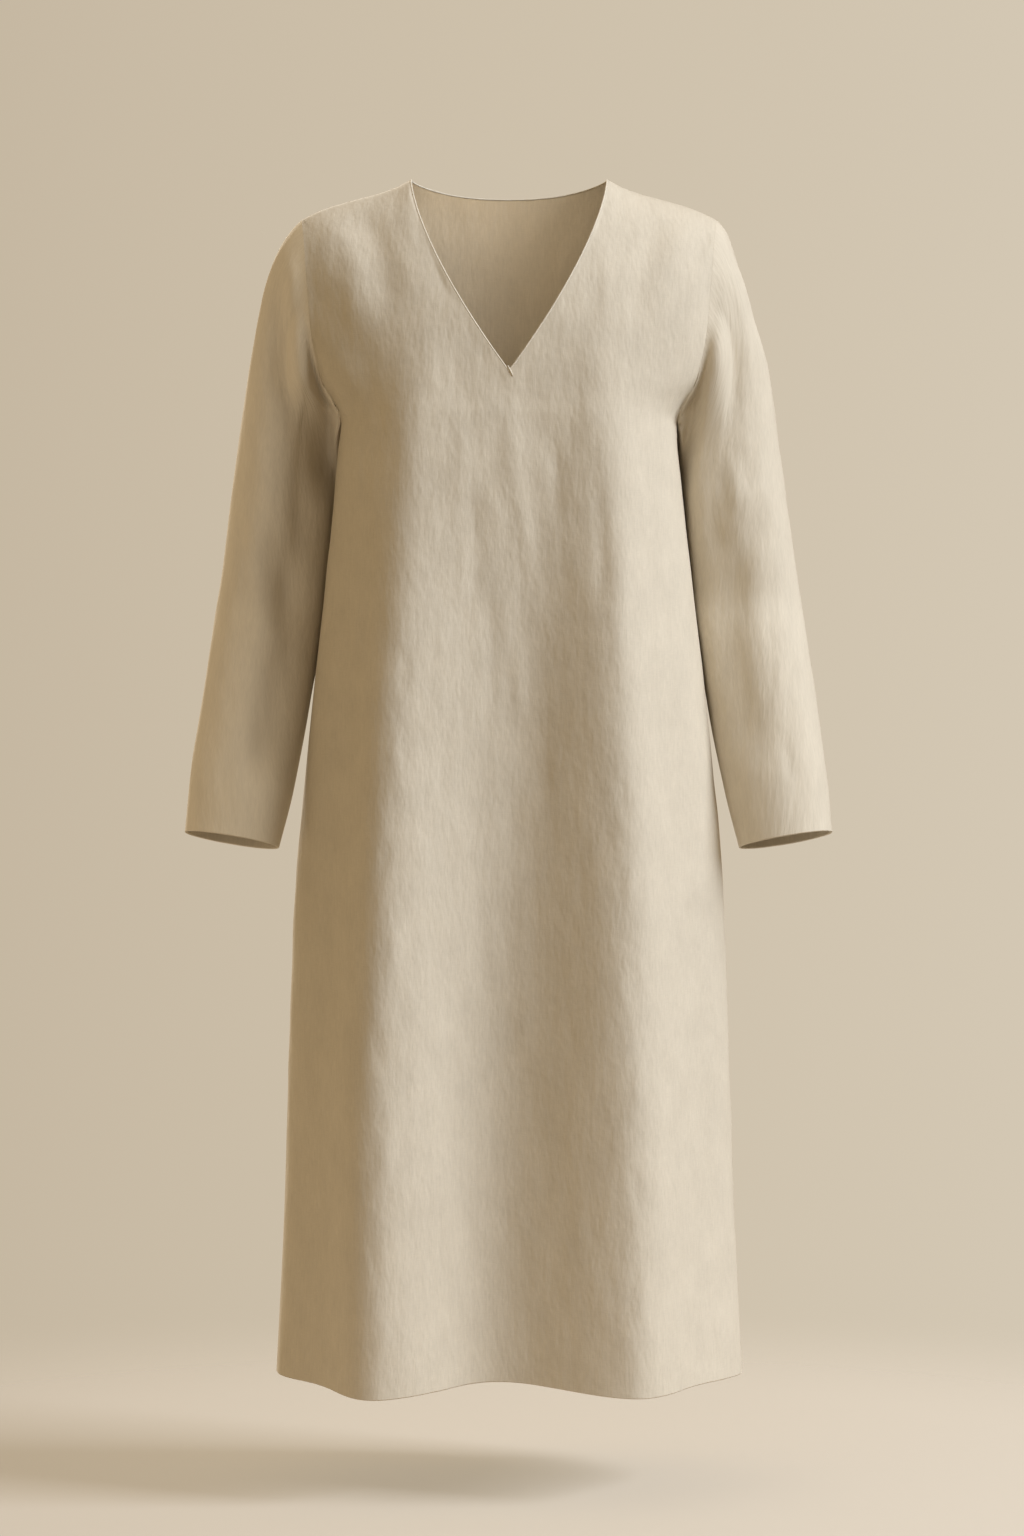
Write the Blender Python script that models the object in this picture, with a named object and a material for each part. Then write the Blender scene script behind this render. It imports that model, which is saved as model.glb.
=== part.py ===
"""Long-sleeved V-neck linen dress, filled out as worn and open at neck, cuffs and hem.

The origin is midway between the two high shoulder points, where the wearer's shoulders hold
the dress up. +Z is up, -Y is the dress's front and +X the wearer's left. Units are metres.

The cloth lies on two smooth sheets, front and back, which meet along the shoulder ridge and
down the sides. A point of a sheet is found from two numbers: an angle round the body
(0 at the middle, a quarter turn at the side) and a run down from the shoulder ridge.
Each panel is a part of its sheet, bounded by its neckline, shoulder seam, armhole, side
seam and hem. A sleeve is a run of rings from the armhole's own points to the cuff.
"""

from collections import namedtuple
from math import pi

import bpy
import numpy as np

# Driving sizes: drops are measured down from the shoulder ridge
CLOTH = 0.002
SEAM_GAP = 0.0003
ARMHOLE_GAP = 0.00045
LENGTH = 1.190
NECK_HALF_WIDTH = 0.097
V_DEPTH = 0.201
BACK_NECK_DROP = 0.0117
UNDERARM_DROP = 0.245
SLEEVE_END = 0.659

# How far the neckline's two halves bow from a straight line: 1 is straight
V_CURVE = 1.52
BACK_NECK_CURVE = 2.4

# Drop over which the cloth rounds over the shoulders, and over which their slope dies out
RIDGE_ROUNDING = 0.16
SLOPE_FADE = 0.25

# Where a fold stands out, the hem seen from the front hangs lower by this share of it
HEM_DIP_PER_FOLD = 0.13
HEM_DIP_START = LENGTH / 2

# Neck binding, a narrow roll all round the neck's edge, mitred at the point of the V
BINDING_WIDTH = 0.0022
BINDING_THICKNESS = 0.0026

# Grid counts: columns for half a panel, rows from its hem up, rows down a sleeve
NECK_COLUMNS = 10
SHOULDER_COLUMNS = 4
ARMHOLE_COLUMNS = 12
SKIRT_ROWS = 9
BODICE_ROWS = 10
CAP_ROWS = 8
TUBE_ROWS = 9
BINDING_SIDES = 8

# Above this drop a panel's rows lean towards its top edge
BODICE_START = 0.30

# Columns stand this share further apart at the side seam and closer at the middle, and the
# neckline's points gather towards the point of the V by this power
COLUMN_SPREAD = 0.25
V_POINT_GATHER = 1.6

# Longest mitre at the underarm, as a multiple of the cloth's thickness
MOST_MITRE = 1.5

# Materials, from the photograph
LINEN = (0.68, 0.60, 0.46, 1.0)
LINEN_BINDING = (0.72, 0.64, 0.51, 1.0)
LINEN_ROUGHNESS = 0.9
BINDING_ROUGHNESS = 0.85
SHARP_EDGE = pi / 4

# Cross-sections of the body at their drop below the shoulder ridge
Section = namedtuple("Section", "drop half_width front_depth back_depth squareness")
BODY_SECTIONS = (
    Section(0.000, 0.265, 0.098, 0.095, 2.4),
    Section(0.050, 0.2475, 0.104, 0.100, 2.4),
    Section(0.100, 0.228, 0.110, 0.106, 2.4),
    Section(0.150, 0.2145, 0.115, 0.111, 2.4),
    Section(0.182, 0.205, 0.118, 0.114, 2.4),
    Section(0.209, 0.193, 0.120, 0.115, 2.4),
    Section(0.229, 0.1765, 0.122, 0.116, 2.4),
    Section(0.245, 0.1675, 0.124, 0.116, 2.5),
    Section(0.300, 0.172, 0.126, 0.114, 2.6),
    Section(0.400, 0.1825, 0.126, 0.109, 2.5),
    Section(0.500, 0.194, 0.126, 0.107, 2.4),
    Section(0.600, 0.204, 0.126, 0.112, 2.3),
    Section(0.720, 0.2135, 0.127, 0.120, 2.2),
    Section(0.880, 0.220, 0.128, 0.125, 2.1),
    Section(1.040, 0.225, 0.130, 0.128, 2.0),
    Section(1.200, 0.233, 0.132, 0.132, 2.0),
)

# Height of the shoulder ridge at a distance out from the middle
Ridge = namedtuple("Ridge", "out height")
SHOULDER_RIDGE = (
    Ridge(0.000, 0.0180),
    Ridge(0.050, 0.0130),
    Ridge(0.097, 0.0000),
    Ridge(0.111, -0.0075),
    Ridge(0.132, -0.0150),
    Ridge(0.160, -0.0225),
    Ridge(0.180, -0.0285),
    Ridge(0.197, -0.0355),
    Ridge(0.210, -0.0425),
    Ridge(0.240, -0.0680),
)

# Places on the armhole seam: the share of its way from the shoulder's tip to the underarm,
# the angle round the body and the drop below the shoulder ridge
Armhole = namedtuple("Armhole", "share degrees drop")
ARMHOLE = (
    Armhole(0.00, 47.5, 0.000),
    Armhole(0.13, 48.3, 0.017),
    Armhole(0.25, 50.5, 0.050),
    Armhole(0.40, 56.0, 0.100),
    Armhole(0.55, 60.5, 0.148),
    Armhole(0.66, 63.5, 0.182),
    Armhole(0.76, 66.0, 0.209),
    Armhole(0.85, 70.0, 0.229),
    Armhole(0.93, 78.0, 0.241),
    Armhole(1.00, 90.0, UNDERARM_DROP),
)

# Soft folds hanging in each panel: the place across at their start and at the hem, their
# half width at both, and how far they stand out (or, if negative, sink in) at the hem
Fold = namedtuple("Fold", "start across_start across_hem half_start half_hem depth")
FRONT_FOLDS = (
    Fold(0.10, -0.068, -0.135, 0.027, 0.048, 0.042),
    Fold(0.14, 0.012, 0.010, 0.045, 0.062, -0.024),
    Fold(0.10, 0.058, 0.130, 0.027, 0.054, 0.040),
)
BACK_FOLDS = (
    Fold(0.16, -0.085, -0.142, 0.030, 0.050, 0.030),
    Fold(0.20, -0.030, -0.056, 0.030, 0.046, -0.026),
    Fold(0.16, 0.012, 0.034, 0.028, 0.048, 0.024),
    Fold(0.24, 0.062, 0.092, 0.028, 0.040, -0.018),
    Fold(0.16, 0.100, 0.150, 0.028, 0.046, 0.026),
)
# A fold grows in over this drop, and dies out at the side seams by this power
FOLD_ONSET = 0.12
FOLD_SIDE_FADE = 6

# Cross-sections of a sleeve below its cap, from upper arm to cuff
Ring = namedtuple("Ring", "drop out forward half_width half_depth")
SLEEVE_RINGS = (
    Ring(0.300, 0.2248, -0.028, 0.0522, 0.060),
    Ring(0.360, 0.2319, -0.030, 0.0532, 0.059),
    Ring(0.420, 0.2389, -0.026, 0.0537, 0.057),
    Ring(0.480, 0.2470, -0.014, 0.0541, 0.055),
    Ring(0.540, 0.2555, -0.001, 0.0535, 0.052),
    Ring(0.600, 0.2655, 0.012, 0.0518, 0.049),
    Ring(SLEEVE_END, 0.2755, 0.024, 0.0475, 0.046),
)
# Way in which the sleeve leaves the armhole, and how strongly, at four places round it
Leave = namedtuple("Leave", "out forward down pull")
LEAVE_TOP = Leave(0.72, 0.00, 0.69, 0.170)
LEAVE_FRONT = Leave(0.72, 0.25, 0.65, 0.140)
LEAVE_BACK = Leave(0.72, -0.22, 0.65, 0.140)
LEAVE_UNDER = Leave(0.80, 0.00, 0.60, 0.015)
# How strongly it meets the first ring, over the arm and under it
CAP_ARRIVAL = 0.27
CAP_ARRIVAL_UNDER = 0.06

# Crease across the front of the sleeve at the elbow
ELBOW_DROP = 0.425
ELBOW_HEIGHT = 0.030
ELBOW_DEPTH = 0.006

# Sides of the dress along Y, and small steps for directions on a sheet and down a sleeve
FRONT = -1
BACK = 1
STEP = 1e-4
SLEEVE_STEP = 0.01


def smooth(xs, ys, x):
    """Value at x of the smooth curve through (xs, ys), which never overshoots its points."""
    xs = np.asarray(xs, float)
    ys = np.asarray(ys, float)
    widths = np.diff(xs)
    rises = np.diff(ys) / widths
    slopes = np.zeros_like(ys)
    slopes[0], slopes[-1] = rises[0], rises[-1]
    before, after = rises[:-1], rises[1:]
    same_way = before * after > 0
    weighted = (widths[1:] + 2 * widths[:-1]) / np.where(same_way, before, 1.0)
    weighted = weighted + (2 * widths[1:] + widths[:-1]) / np.where(same_way, after, 1.0)
    slopes[1:-1] = np.where(same_way, 3 * (widths[1:] + widths[:-1]) / weighted, 0.0)
    x = np.clip(np.asarray(x, float), xs[0], xs[-1])
    k = np.clip(np.searchsorted(xs, x) - 1, 0, len(widths) - 1)
    t = (x - xs[k]) / widths[k]
    return (
        ys[k] * (1 + 2 * t) * (1 - t) ** 2
        + slopes[k] * widths[k] * t * (1 - t) ** 2
        + ys[k + 1] * t**2 * (3 - 2 * t)
        + slopes[k + 1] * widths[k] * t**2 * (t - 1)
    )


def column(table, name, at):
    """A table's named column at a value of its first column."""
    return smooth([row[0] for row in table], [getattr(row, name) for row in table], at)


def ease(t):
    """0 before 0, 1 after 1, and an even glide between them."""
    t = np.clip(t, 0.0, 1.0)
    return t * t * (3 - 2 * t)


def unit(vectors):
    return vectors / np.linalg.norm(vectors, axis=-1, keepdims=True)


def ridge_height(out):
    return column(SHOULDER_RIDGE, "height", np.abs(out))


# Runs down a sheet: the first unit of run rounds over the shoulder, the rest goes straight down


def drop_of_run(run):
    rounding = RIDGE_ROUNDING * (1 - np.cos(np.minimum(np.abs(run), 1.0) * pi / 2))
    return rounding + RIDGE_ROUNDING * pi / 2 * np.maximum(run - 1.0, 0.0)


def run_of_drop(drop):
    rounding = np.arccos(np.clip(1 - drop / RIDGE_ROUNDING, 0.0, 1.0)) * 2 / pi
    return rounding + np.maximum(drop - RIDGE_ROUNDING, 0.0) / (RIDGE_ROUNDING * pi / 2)


def drop_at_height(out, height):
    """Drop below the ridge of the sheet's point that is at this height, this far out."""
    ridge = ridge_height(out)
    left = np.maximum(SLOPE_FADE + height, 0.0)
    share = 2 * left / (SLOPE_FADE + np.sqrt(SLOPE_FADE**2 + 4 * ridge * left))
    return np.where(height > -SLOPE_FADE, SLOPE_FADE * (1 - share), -height)


def angle_at(out, drop):
    """Angle round the body of the sheet's point this far out at this drop."""
    across = np.clip(out / column(BODY_SECTIONS, "half_width", drop), -1.0, 1.0)
    squareness = column(BODY_SECTIONS, "squareness", drop)
    deep = (1 - np.abs(across) ** squareness) ** (1 / squareness)
    return np.arctan2(across, deep)


def fold_offset(folds, across, drop):
    """How far the folds move the cloth out at this place across and this drop."""
    total = np.zeros(np.broadcast(across, drop).shape)
    for fold in folds:
        below = drop - fold.start
        down = np.sin(np.clip(below / (LENGTH - fold.start), 0.0, 1.0) * pi / 2)
        middle = fold.across_start + (fold.across_hem - fold.across_start) * down
        half = fold.half_start + (fold.half_hem - fold.half_start) * down
        grown = fold.depth * down * ease(below / FOLD_ONSET)
        total = total + grown * np.exp(-(((across - middle) / half) ** 2))
    return total


def sheet_point(angle, run, side):
    """Point of the front or back sheet, on the cloth's outer face."""
    drop = drop_of_run(run)
    rounding = np.sin(np.clip(run, -1.0, 1.0) * pi / 2)
    half_width = column(BODY_SECTIONS, "half_width", drop)
    depth = column(BODY_SECTIONS, "front_depth" if side == FRONT else "back_depth", drop)
    power = column(BODY_SECTIONS, "squareness", drop)
    sine, cosine = np.sin(angle), np.cos(angle)
    reach = (np.abs(sine) ** power + np.abs(cosine) ** power) ** (1 / power)
    across, deep = sine / reach, cosine / reach
    out_x, out_y = across / half_width, deep / depth
    out_length = np.hypot(out_x, out_y)
    folds = FRONT_FOLDS if side == FRONT else BACK_FOLDS
    side_fade = 1 - np.abs(across) ** FOLD_SIDE_FADE
    offset = fold_offset(folds, half_width * across, drop) * side_fade
    x = half_width * across + offset * out_x / out_length
    y = side * (depth * rounding * deep + offset * out_y / out_length + SEAM_GAP / 2)
    fade = np.clip(1 - drop / SLOPE_FADE, 0.0, 1.0) ** 2
    z = ridge_height(half_width * across) * fade - drop
    near_hem = ease((drop - HEM_DIP_START) / (LENGTH - HEM_DIP_START))
    hem_dip = HEM_DIP_PER_FOLD * offset * near_hem
    return np.stack(np.broadcast_arrays(x, y, z - hem_dip), axis=-1)


def sheet_normal(angle, run, side):
    """Unit vector out of the cloth at a point of the sheet."""
    round_body = sheet_point(angle + STEP, run, side) - sheet_point(angle - STEP, run, side)
    down_body = sheet_point(angle, run + STEP, side) - sheet_point(angle, run - STEP, side)
    return unit(side * np.cross(round_body, down_body))


# Edges of the panels, as angle and run


def neckline(share, side, set_back):
    """Neck edge from the middle (share 0) to the shoulder ridge (share 1), set back into the
    panel by a distance."""
    out_most = NECK_HALF_WIDTH + set_back
    if side == FRONT:
        down = (1 - share) ** V_POINT_GATHER
        out = out_most * (1 - down**V_CURVE)
        spread = V_CURVE * NECK_HALF_WIDTH / V_DEPTH
        lowest = -(V_DEPTH + set_back * np.hypot(1, spread) / spread)
        highest = ridge_height(out_most)
        height = highest + down * (lowest - highest)
    else:
        out = out_most * np.sin(share * pi / 2)
        middle = 1 - (out / out_most) ** BACK_NECK_CURVE
        height = ridge_height(out_most) * (1 - middle) - (BACK_NECK_DROP + set_back) * middle
    drop = np.maximum(drop_at_height(out, height), 0.0)
    return angle_at(out, drop), run_of_drop(drop)


def shoulder_seam(share):
    """Seam along the ridge from the neck (share 0) to the armhole (share 1)."""
    start = NECK_HALF_WIDTH + BINDING_WIDTH + SEAM_GAP
    tip = sheet_point(*armhole(np.zeros(1)), FRONT)[0, 0]
    out = start + share * (tip - start)
    return angle_at(out, np.zeros_like(out)), np.zeros_like(out)


def armhole(share):
    """Armhole seam from the shoulder's tip (share 0) to the underarm (share 1)."""
    angle = np.radians(column(ARMHOLE, "degrees", share))
    return angle, run_of_drop(column(ARMHOLE, "drop", share))


def top_edge(side):
    """Upper edge of half a panel, from its middle out and round to the underarm."""
    set_back = BINDING_WIDTH + SEAM_GAP
    neck = neckline(np.arange(NECK_COLUMNS) / NECK_COLUMNS, side, set_back)
    seam = shoulder_seam(np.arange(SHOULDER_COLUMNS) / SHOULDER_COLUMNS)
    arm = armhole(np.arange(ARMHOLE_COLUMNS + 1) / ARMHOLE_COLUMNS)
    angle, run = (np.concatenate(edges) for edges in zip(neck, seam, arm))
    return angle, run


def panel_grid(side):
    """Angle and run of a panel's points: rows from hem to top, columns from side to side."""
    top_angle, top_run = top_edge(side)
    spread = np.linspace(0.0, 1.0, len(top_angle))
    hang_angle = pi / 2 * ((1 - COLUMN_SPREAD) * spread + COLUMN_SPREAD * spread**2)
    start_run = run_of_drop(BODICE_START)
    rows = []
    for drop in np.linspace(LENGTH, BODICE_START, SKIRT_ROWS + 1)[:-1]:
        rows.append((hang_angle, np.full_like(hang_angle, run_of_drop(drop))))
    for share in np.linspace(0.0, 1.0, BODICE_ROWS + 1):
        angle = hang_angle + (top_angle - hang_angle) * share
        rows.append((angle, start_run + (top_run - start_run) * share))
    angle = np.array([np.concatenate([-row[0][:0:-1], row[0]]) for row in rows])
    run = np.array([np.concatenate([row[1][:0:-1], row[1]]) for row in rows])
    return angle, run


# Solids


def cloth_material(name, colour, roughness):
    material = bpy.data.materials.new(name)
    material.use_nodes = True
    shader = material.node_tree.nodes["Principled BSDF"]
    shader.inputs["Base Color"].default_value = colour
    shader.inputs["Roughness"].default_value = roughness
    shader.inputs["Metallic"].default_value = 0.0
    return material


def add_object(name, points, faces, material):
    mesh = bpy.data.meshes.new(name)
    mesh.from_pydata([tuple(point) for point in points], [], faces)
    mesh.materials.append(material)
    mesh.shade_smooth()
    mesh.set_sharp_from_angle(angle=SHARP_EDGE)
    thing = bpy.data.objects.new(name, mesh)
    bpy.context.scene.collection.objects.link(thing)
    return thing


def grid_faces(rows, columns, start, flip, wrap=False):
    """Quads of a grid of points. Wrap joins the last column to the first."""
    faces = []
    for i in range(rows - 1):
        for j in range(columns if wrap else columns - 1):
            k = (j + 1) % columns
            a, b = start + i * columns + j, start + i * columns + k
            c, d = start + (i + 1) * columns + k, start + (i + 1) * columns + j
            faces.append((a, d, c, b) if flip else (a, b, c, d))
    return faces


def rim_faces(loop, shift, flip):
    """Quads between an edge of the outer skin and the same edge of the inner skin."""
    faces = []
    for a, b in zip(loop, loop[1:]):
        quad = (a, b, b + shift, a + shift)
        faces.append(quad[::-1] if flip else quad)
    return faces


def wall(name, outer, inner, material, flip, wrap=False):
    """Closed cloth wall between two grids of points."""
    rows, columns = outer.shape[:2]
    count = rows * columns
    faces = grid_faces(rows, columns, 0, flip, wrap)
    faces += grid_faces(rows, columns, count, not flip, wrap)
    bottom = list(range(columns))
    top = [(rows - 1) * columns + j for j in range(columns)]
    if wrap:
        faces += rim_faces(bottom + bottom[:1], count, not flip)
        faces += rim_faces(top + top[:1], count, flip)
    else:
        left = [i * columns for i in range(rows)]
        right = [i * columns + columns - 1 for i in range(rows)]
        loop = bottom + right[1:] + top[::-1][1:] + left[::-1][1:]
        faces += rim_faces(loop, count, not flip)
    points = np.concatenate([outer.reshape(-1, 3), inner.reshape(-1, 3)])
    return add_object(name, points, faces, material)


def armhole_loop():
    """Points of the armhole seam and the cloth's normals there, from the tip down the front
    and up the back, on the wearer's left."""
    shares = np.arange(ARMHOLE_COLUMNS + 1) / ARMHOLE_COLUMNS
    angle, run = armhole(shares)
    front = sheet_point(angle, run, FRONT)
    back = sheet_point(angle, run, BACK)[-2:0:-1]
    normals = sheet_normal(angle, run, FRONT)
    back_normals = sheet_normal(angle, run, BACK)[-2:0:-1]
    for k in (0, -1):
        front[k, 1] = 0.0
        normals[k, 1] = 0.0
    return np.concatenate([front, back]), unit(np.concatenate([normals, back_normals]))


def leaving(turn):
    """Way, and strength, in which the sleeve leaves the armhole round its loop."""
    up, forward = np.cos(turn), np.sin(turn)
    weights = (
        (LEAVE_TOP, np.maximum(up, 0) ** 2),
        (LEAVE_UNDER, np.maximum(-up, 0) ** 2),
        (LEAVE_FRONT, np.maximum(forward, 0) ** 2),
        (LEAVE_BACK, np.maximum(-forward, 0) ** 2),
    )
    way = sum(w[:, None] * np.array([[at.out, -at.forward, -at.down]]) for at, w in weights)
    pull = sum(w * at.pull for at, w in weights)
    return unit(way), pull


def armhole_mitre():
    """Steps across the cloth at the armhole seam, from its outer to its inner edge, where
    body and sleeve meet in a mitre, and the seam's gap."""
    seam, normals = armhole_loop()
    turn = 2 * pi * np.arange(len(seam)) / len(seam)
    way, _ = leaving(turn)
    along = unit(np.roll(seam, -1, axis=0) - np.roll(seam, 1, axis=0))
    sleeve_normals = unit(np.cross(along, way))
    between = unit(normals + sleeve_normals)
    stretch = 1 / np.sum(normals * between, axis=1, keepdims=True)
    step = -CLOTH * between * np.minimum(stretch, MOST_MITRE)
    gap = ARMHOLE_GAP * unit(np.cross(along, step))
    return step, gap


def build_panel(name, side, material):
    """Front or back of the dress, in one piece from shoulders to hem."""
    angle, run = panel_grid(side)
    outer = sheet_point(angle, run, side)
    inner = outer - CLOTH * sheet_normal(angle, run, side)
    step, _ = armhole_mitre()
    if side == BACK:
        step = np.roll(step[::-1], 1, axis=0)
    step = step[: ARMHOLE_COLUMNS + 1]
    left = slice(-ARMHOLE_COLUMNS - 1, None)
    right = slice(None, ARMHOLE_COLUMNS + 1)
    inner[-1, left] = outer[-1, left] + step
    inner[-1, right] = outer[-1, right] + step[::-1] * (-1, 1, 1)
    return wall(name, outer, inner, material, flip=side == BACK)


def tube_ring(drop, turn):
    """Ring of points round the sleeve at a drop, square to the arm's line."""
    def centre(at):
        return np.stack(
            [column(SLEEVE_RINGS, "out", at), -column(SLEEVE_RINGS, "forward", at), -at]
        )

    along = unit(centre(min(drop + SLEEVE_STEP, SLEEVE_END)) - centre(drop - SLEEVE_STEP))
    outward = np.array([1.0, 0.0, 0.0])
    outward = unit(outward - along * (outward @ along))
    forward = np.cross(along, outward)
    half_width = column(SLEEVE_RINGS, "half_width", drop)
    half_depth = column(SLEEVE_RINGS, "half_depth", drop)
    up, front = np.cos(turn)[:, None], np.sin(turn)[:, None]
    crease = ELBOW_DEPTH * np.exp(-(((drop - ELBOW_DROP) / ELBOW_HEIGHT) ** 2))
    shrink = 1 - crease / half_depth * np.clip(front, 0.0, None) ** 2
    return centre(drop) + shrink * (half_width * up * outward + half_depth * front * forward)


def sleeve_rows():
    """Outer points of the wearer's left sleeve: rings from armhole to cuff."""
    seam, _ = armhole_loop()
    turn = 2 * pi * np.arange(len(seam)) / len(seam)
    way, pull = leaving(turn)
    start = seam + armhole_mitre()[1]
    first = SLEEVE_RINGS[0].drop
    end = tube_ring(first, turn)
    end_way = unit(tube_ring(first + SLEEVE_STEP, turn) - end)
    under = np.maximum(-np.cos(turn), 0)[:, None] ** 2
    arrival = CAP_ARRIVAL + (CAP_ARRIVAL_UNDER - CAP_ARRIVAL) * under
    rows = []
    for t in np.linspace(0.0, 1.0, CAP_ROWS + 1)[:-1]:
        rows.append(
            start * (1 + 2 * t) * (1 - t) ** 2
            + way * pull[:, None] * t * (1 - t) ** 2
            + end * t**2 * (3 - 2 * t)
            + end_way * arrival * t**2 * (t - 1)
        )
    for drop in np.linspace(first, SLEEVE_END, TUBE_ROWS + 1):
        rows.append(tube_ring(drop, turn))
    return np.array(rows)


def grid_normals(grid):
    """Outward normals of a tube's grid of points."""
    around = np.roll(grid, -1, axis=1) - np.roll(grid, 1, axis=1)
    along = np.gradient(grid, axis=0)
    return unit(np.cross(around, along))


def build_sleeve(name, mirror, material):
    """Long sleeve, from its cap at the armhole to the open cuff."""
    outer = sleeve_rows()
    inner = outer - CLOTH * grid_normals(outer)
    inner[0] = outer[0] + armhole_mitre()[0]
    if mirror:
        outer, inner = outer * (-1, 1, 1), inner * (-1, 1, 1)
    return wall(name, outer, inner, material, flip=mirror, wrap=True)


def binding_line(side):
    """Middle line of the neck binding from the middle out to the shoulder ridge, with its
    directions along the edge, away from the hole and out of the cloth."""
    shares = np.arange(NECK_COLUMNS + 1) / NECK_COLUMNS
    edge = neckline(shares, side, BINDING_WIDTH / 2)
    line, normal = sheet_point(*edge, side), sheet_normal(*edge, side)
    along = unit(np.gradient(line, axis=0))
    along[-1] = (0.0, side * -1.0, 0.0)
    away = unit(np.cross(normal, along)) * side
    return line - normal * CLOTH / 2, along, away, normal


def binding_half(side):
    """Sections of the roll from the middle to the shoulder ridge, on the wearer's left."""
    line, along, away, normal = binding_line(side)
    turns = 2 * pi * np.arange(BINDING_SIDES) / BINDING_SIDES
    across = np.cos(turns)[None, :, None] * away[:, None, :] * BINDING_WIDTH / 2
    through = np.sin(turns)[None, :, None] * normal[:, None, :] * BINDING_THICKNESS / 2
    rows = line[:, None, :] + across + through
    rows[0] -= (rows[0][:, :1] / along[0][0]) * along[0]
    rows[-1][:, 1] = 0.0
    return rows


def build_binding(name, material):
    """Binding round the whole neck: down the V, up to the shoulders and round the back."""
    front, back = binding_half(FRONT), binding_half(BACK)
    left = np.concatenate([front, back[-2::-1]])
    right = left[-2:0:-1] * (-1, 1, 1)
    rows = np.concatenate([left, right])
    count, sides = rows.shape[:2]
    around = rows.transpose(1, 0, 2)
    faces = grid_faces(sides, count, 0, False, wrap=True)
    last = (sides - 1) * count
    for j in range(count):
        k = (j + 1) % count
        faces.append((last + j, last + k, k, j))
    return add_object(name, around.reshape(-1, 3), faces, material)


def clear_scene():
    for thing in list(bpy.data.objects):
        bpy.data.objects.remove(thing, do_unlink=True)


def main():
    clear_scene()
    linen = cloth_material("linen", LINEN, LINEN_ROUGHNESS)
    binding = cloth_material("linen_binding", LINEN_BINDING, BINDING_ROUGHNESS)
    build_panel("front_panel", FRONT, linen)
    build_panel("back_panel", BACK, linen)
    build_sleeve("left_sleeve", False, linen)
    build_sleeve("right_sleeve", True, linen)
    build_binding("neck_binding", binding)


main()
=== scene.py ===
"""Looks of a long-sleeved V-neck linen dress, filled out as worn, open at neck, cuffs and hem.

Each piece of cloth is a thin shell on the form of its solid: a fine grid on the same sheets,
with the main creases listed one by one and the linen's fine crinkle over all of it. Units are
metres, in the frame of the solids: +Z up, -Y the dress's front and +X the wearer's left.
"""

from collections import namedtuple
from math import pi

import bpy
import numpy as np
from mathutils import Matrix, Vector


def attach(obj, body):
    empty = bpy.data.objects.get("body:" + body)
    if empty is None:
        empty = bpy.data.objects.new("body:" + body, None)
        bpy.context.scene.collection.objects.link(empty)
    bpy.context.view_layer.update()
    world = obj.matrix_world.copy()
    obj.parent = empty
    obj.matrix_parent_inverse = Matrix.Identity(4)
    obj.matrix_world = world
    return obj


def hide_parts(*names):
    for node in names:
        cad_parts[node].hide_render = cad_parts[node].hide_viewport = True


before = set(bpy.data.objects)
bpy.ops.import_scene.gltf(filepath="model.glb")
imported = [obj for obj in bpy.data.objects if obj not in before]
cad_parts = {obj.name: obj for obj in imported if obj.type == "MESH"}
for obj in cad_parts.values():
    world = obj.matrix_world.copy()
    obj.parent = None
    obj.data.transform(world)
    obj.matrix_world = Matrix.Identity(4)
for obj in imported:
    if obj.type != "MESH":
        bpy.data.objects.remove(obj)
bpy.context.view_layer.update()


def table(kind, *rows):
    """Rows as a table with the kind's named columns."""
    return tuple(kind(*row) for row in rows)


def millimetres(kind, *rows):
    """The same for rows in millimetres, which become metres."""
    return table(kind, *([number / 1000 for number in row] for row in rows))


# Ways along y that the two sheets face
FRONT = -1
BACK = 1

# Steps for slopes on sheets and sleeves, and their count for lengths
STEP = 1e-4
SLEEVE_STEP = 0.01
ARC_STEPS = 24

# Sizes that follow the solids: drops are measured down from the shoulder ridge
SEAM_GAP = 0.00012
LENGTH = 1.19
NECK_HALF_WIDTH = 0.097
V_DEPTH = 0.201
BACK_NECK_DROP = 0.0117
UNDERARM_DROP = 0.245
V_CURVE = 1.52
BACK_NECK_CURVE = 2.4
RIDGE_ROUNDING = 0.16
SLOPE_FADE = 0.25
HEM_DIP_PER_FOLD = 0.13
HEM_DIP_START = LENGTH / 2
BINDING_WIDTH = 0.0017
BINDING_THICKNESS = 0.0015
BODICE_START = 0.3
COLUMN_SPREAD = 0.25
NECK_GATHER = 1.6

# End of the binding that laps over the point of the V, as places across and up
LAP_FROM = (-0.0012, -0.197)
LAP_TO = (0.004, -0.2075)
LAP_HEIGHT = 0.0004
LAP_ROWS = 9
LAP_BLUNT = 0.06

# The linen itself: one layer, and two where an edge is turned in
LAYER = 0.0009
TURNED = 0.0007
HEM_TURN = 0.022
CUFF_TURN = 0.016
TURN_STEP = 0.003

# Grid counts: columns for half a panel, rows from its hem up, columns and rows of a sleeve
NECK_COLUMNS = 44
SHOULDER_COLUMNS = 20
ARMHOLE_COLUMNS = 56
SKIRT_ROWS = 140
BODICE_ROWS = 46
SLEEVE_HALF_COLUMNS = 80
CAP_ROWS = 52
TUBE_ROWS = 78
BINDING_ROWS = 60
BINDING_SIDES = 14

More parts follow.
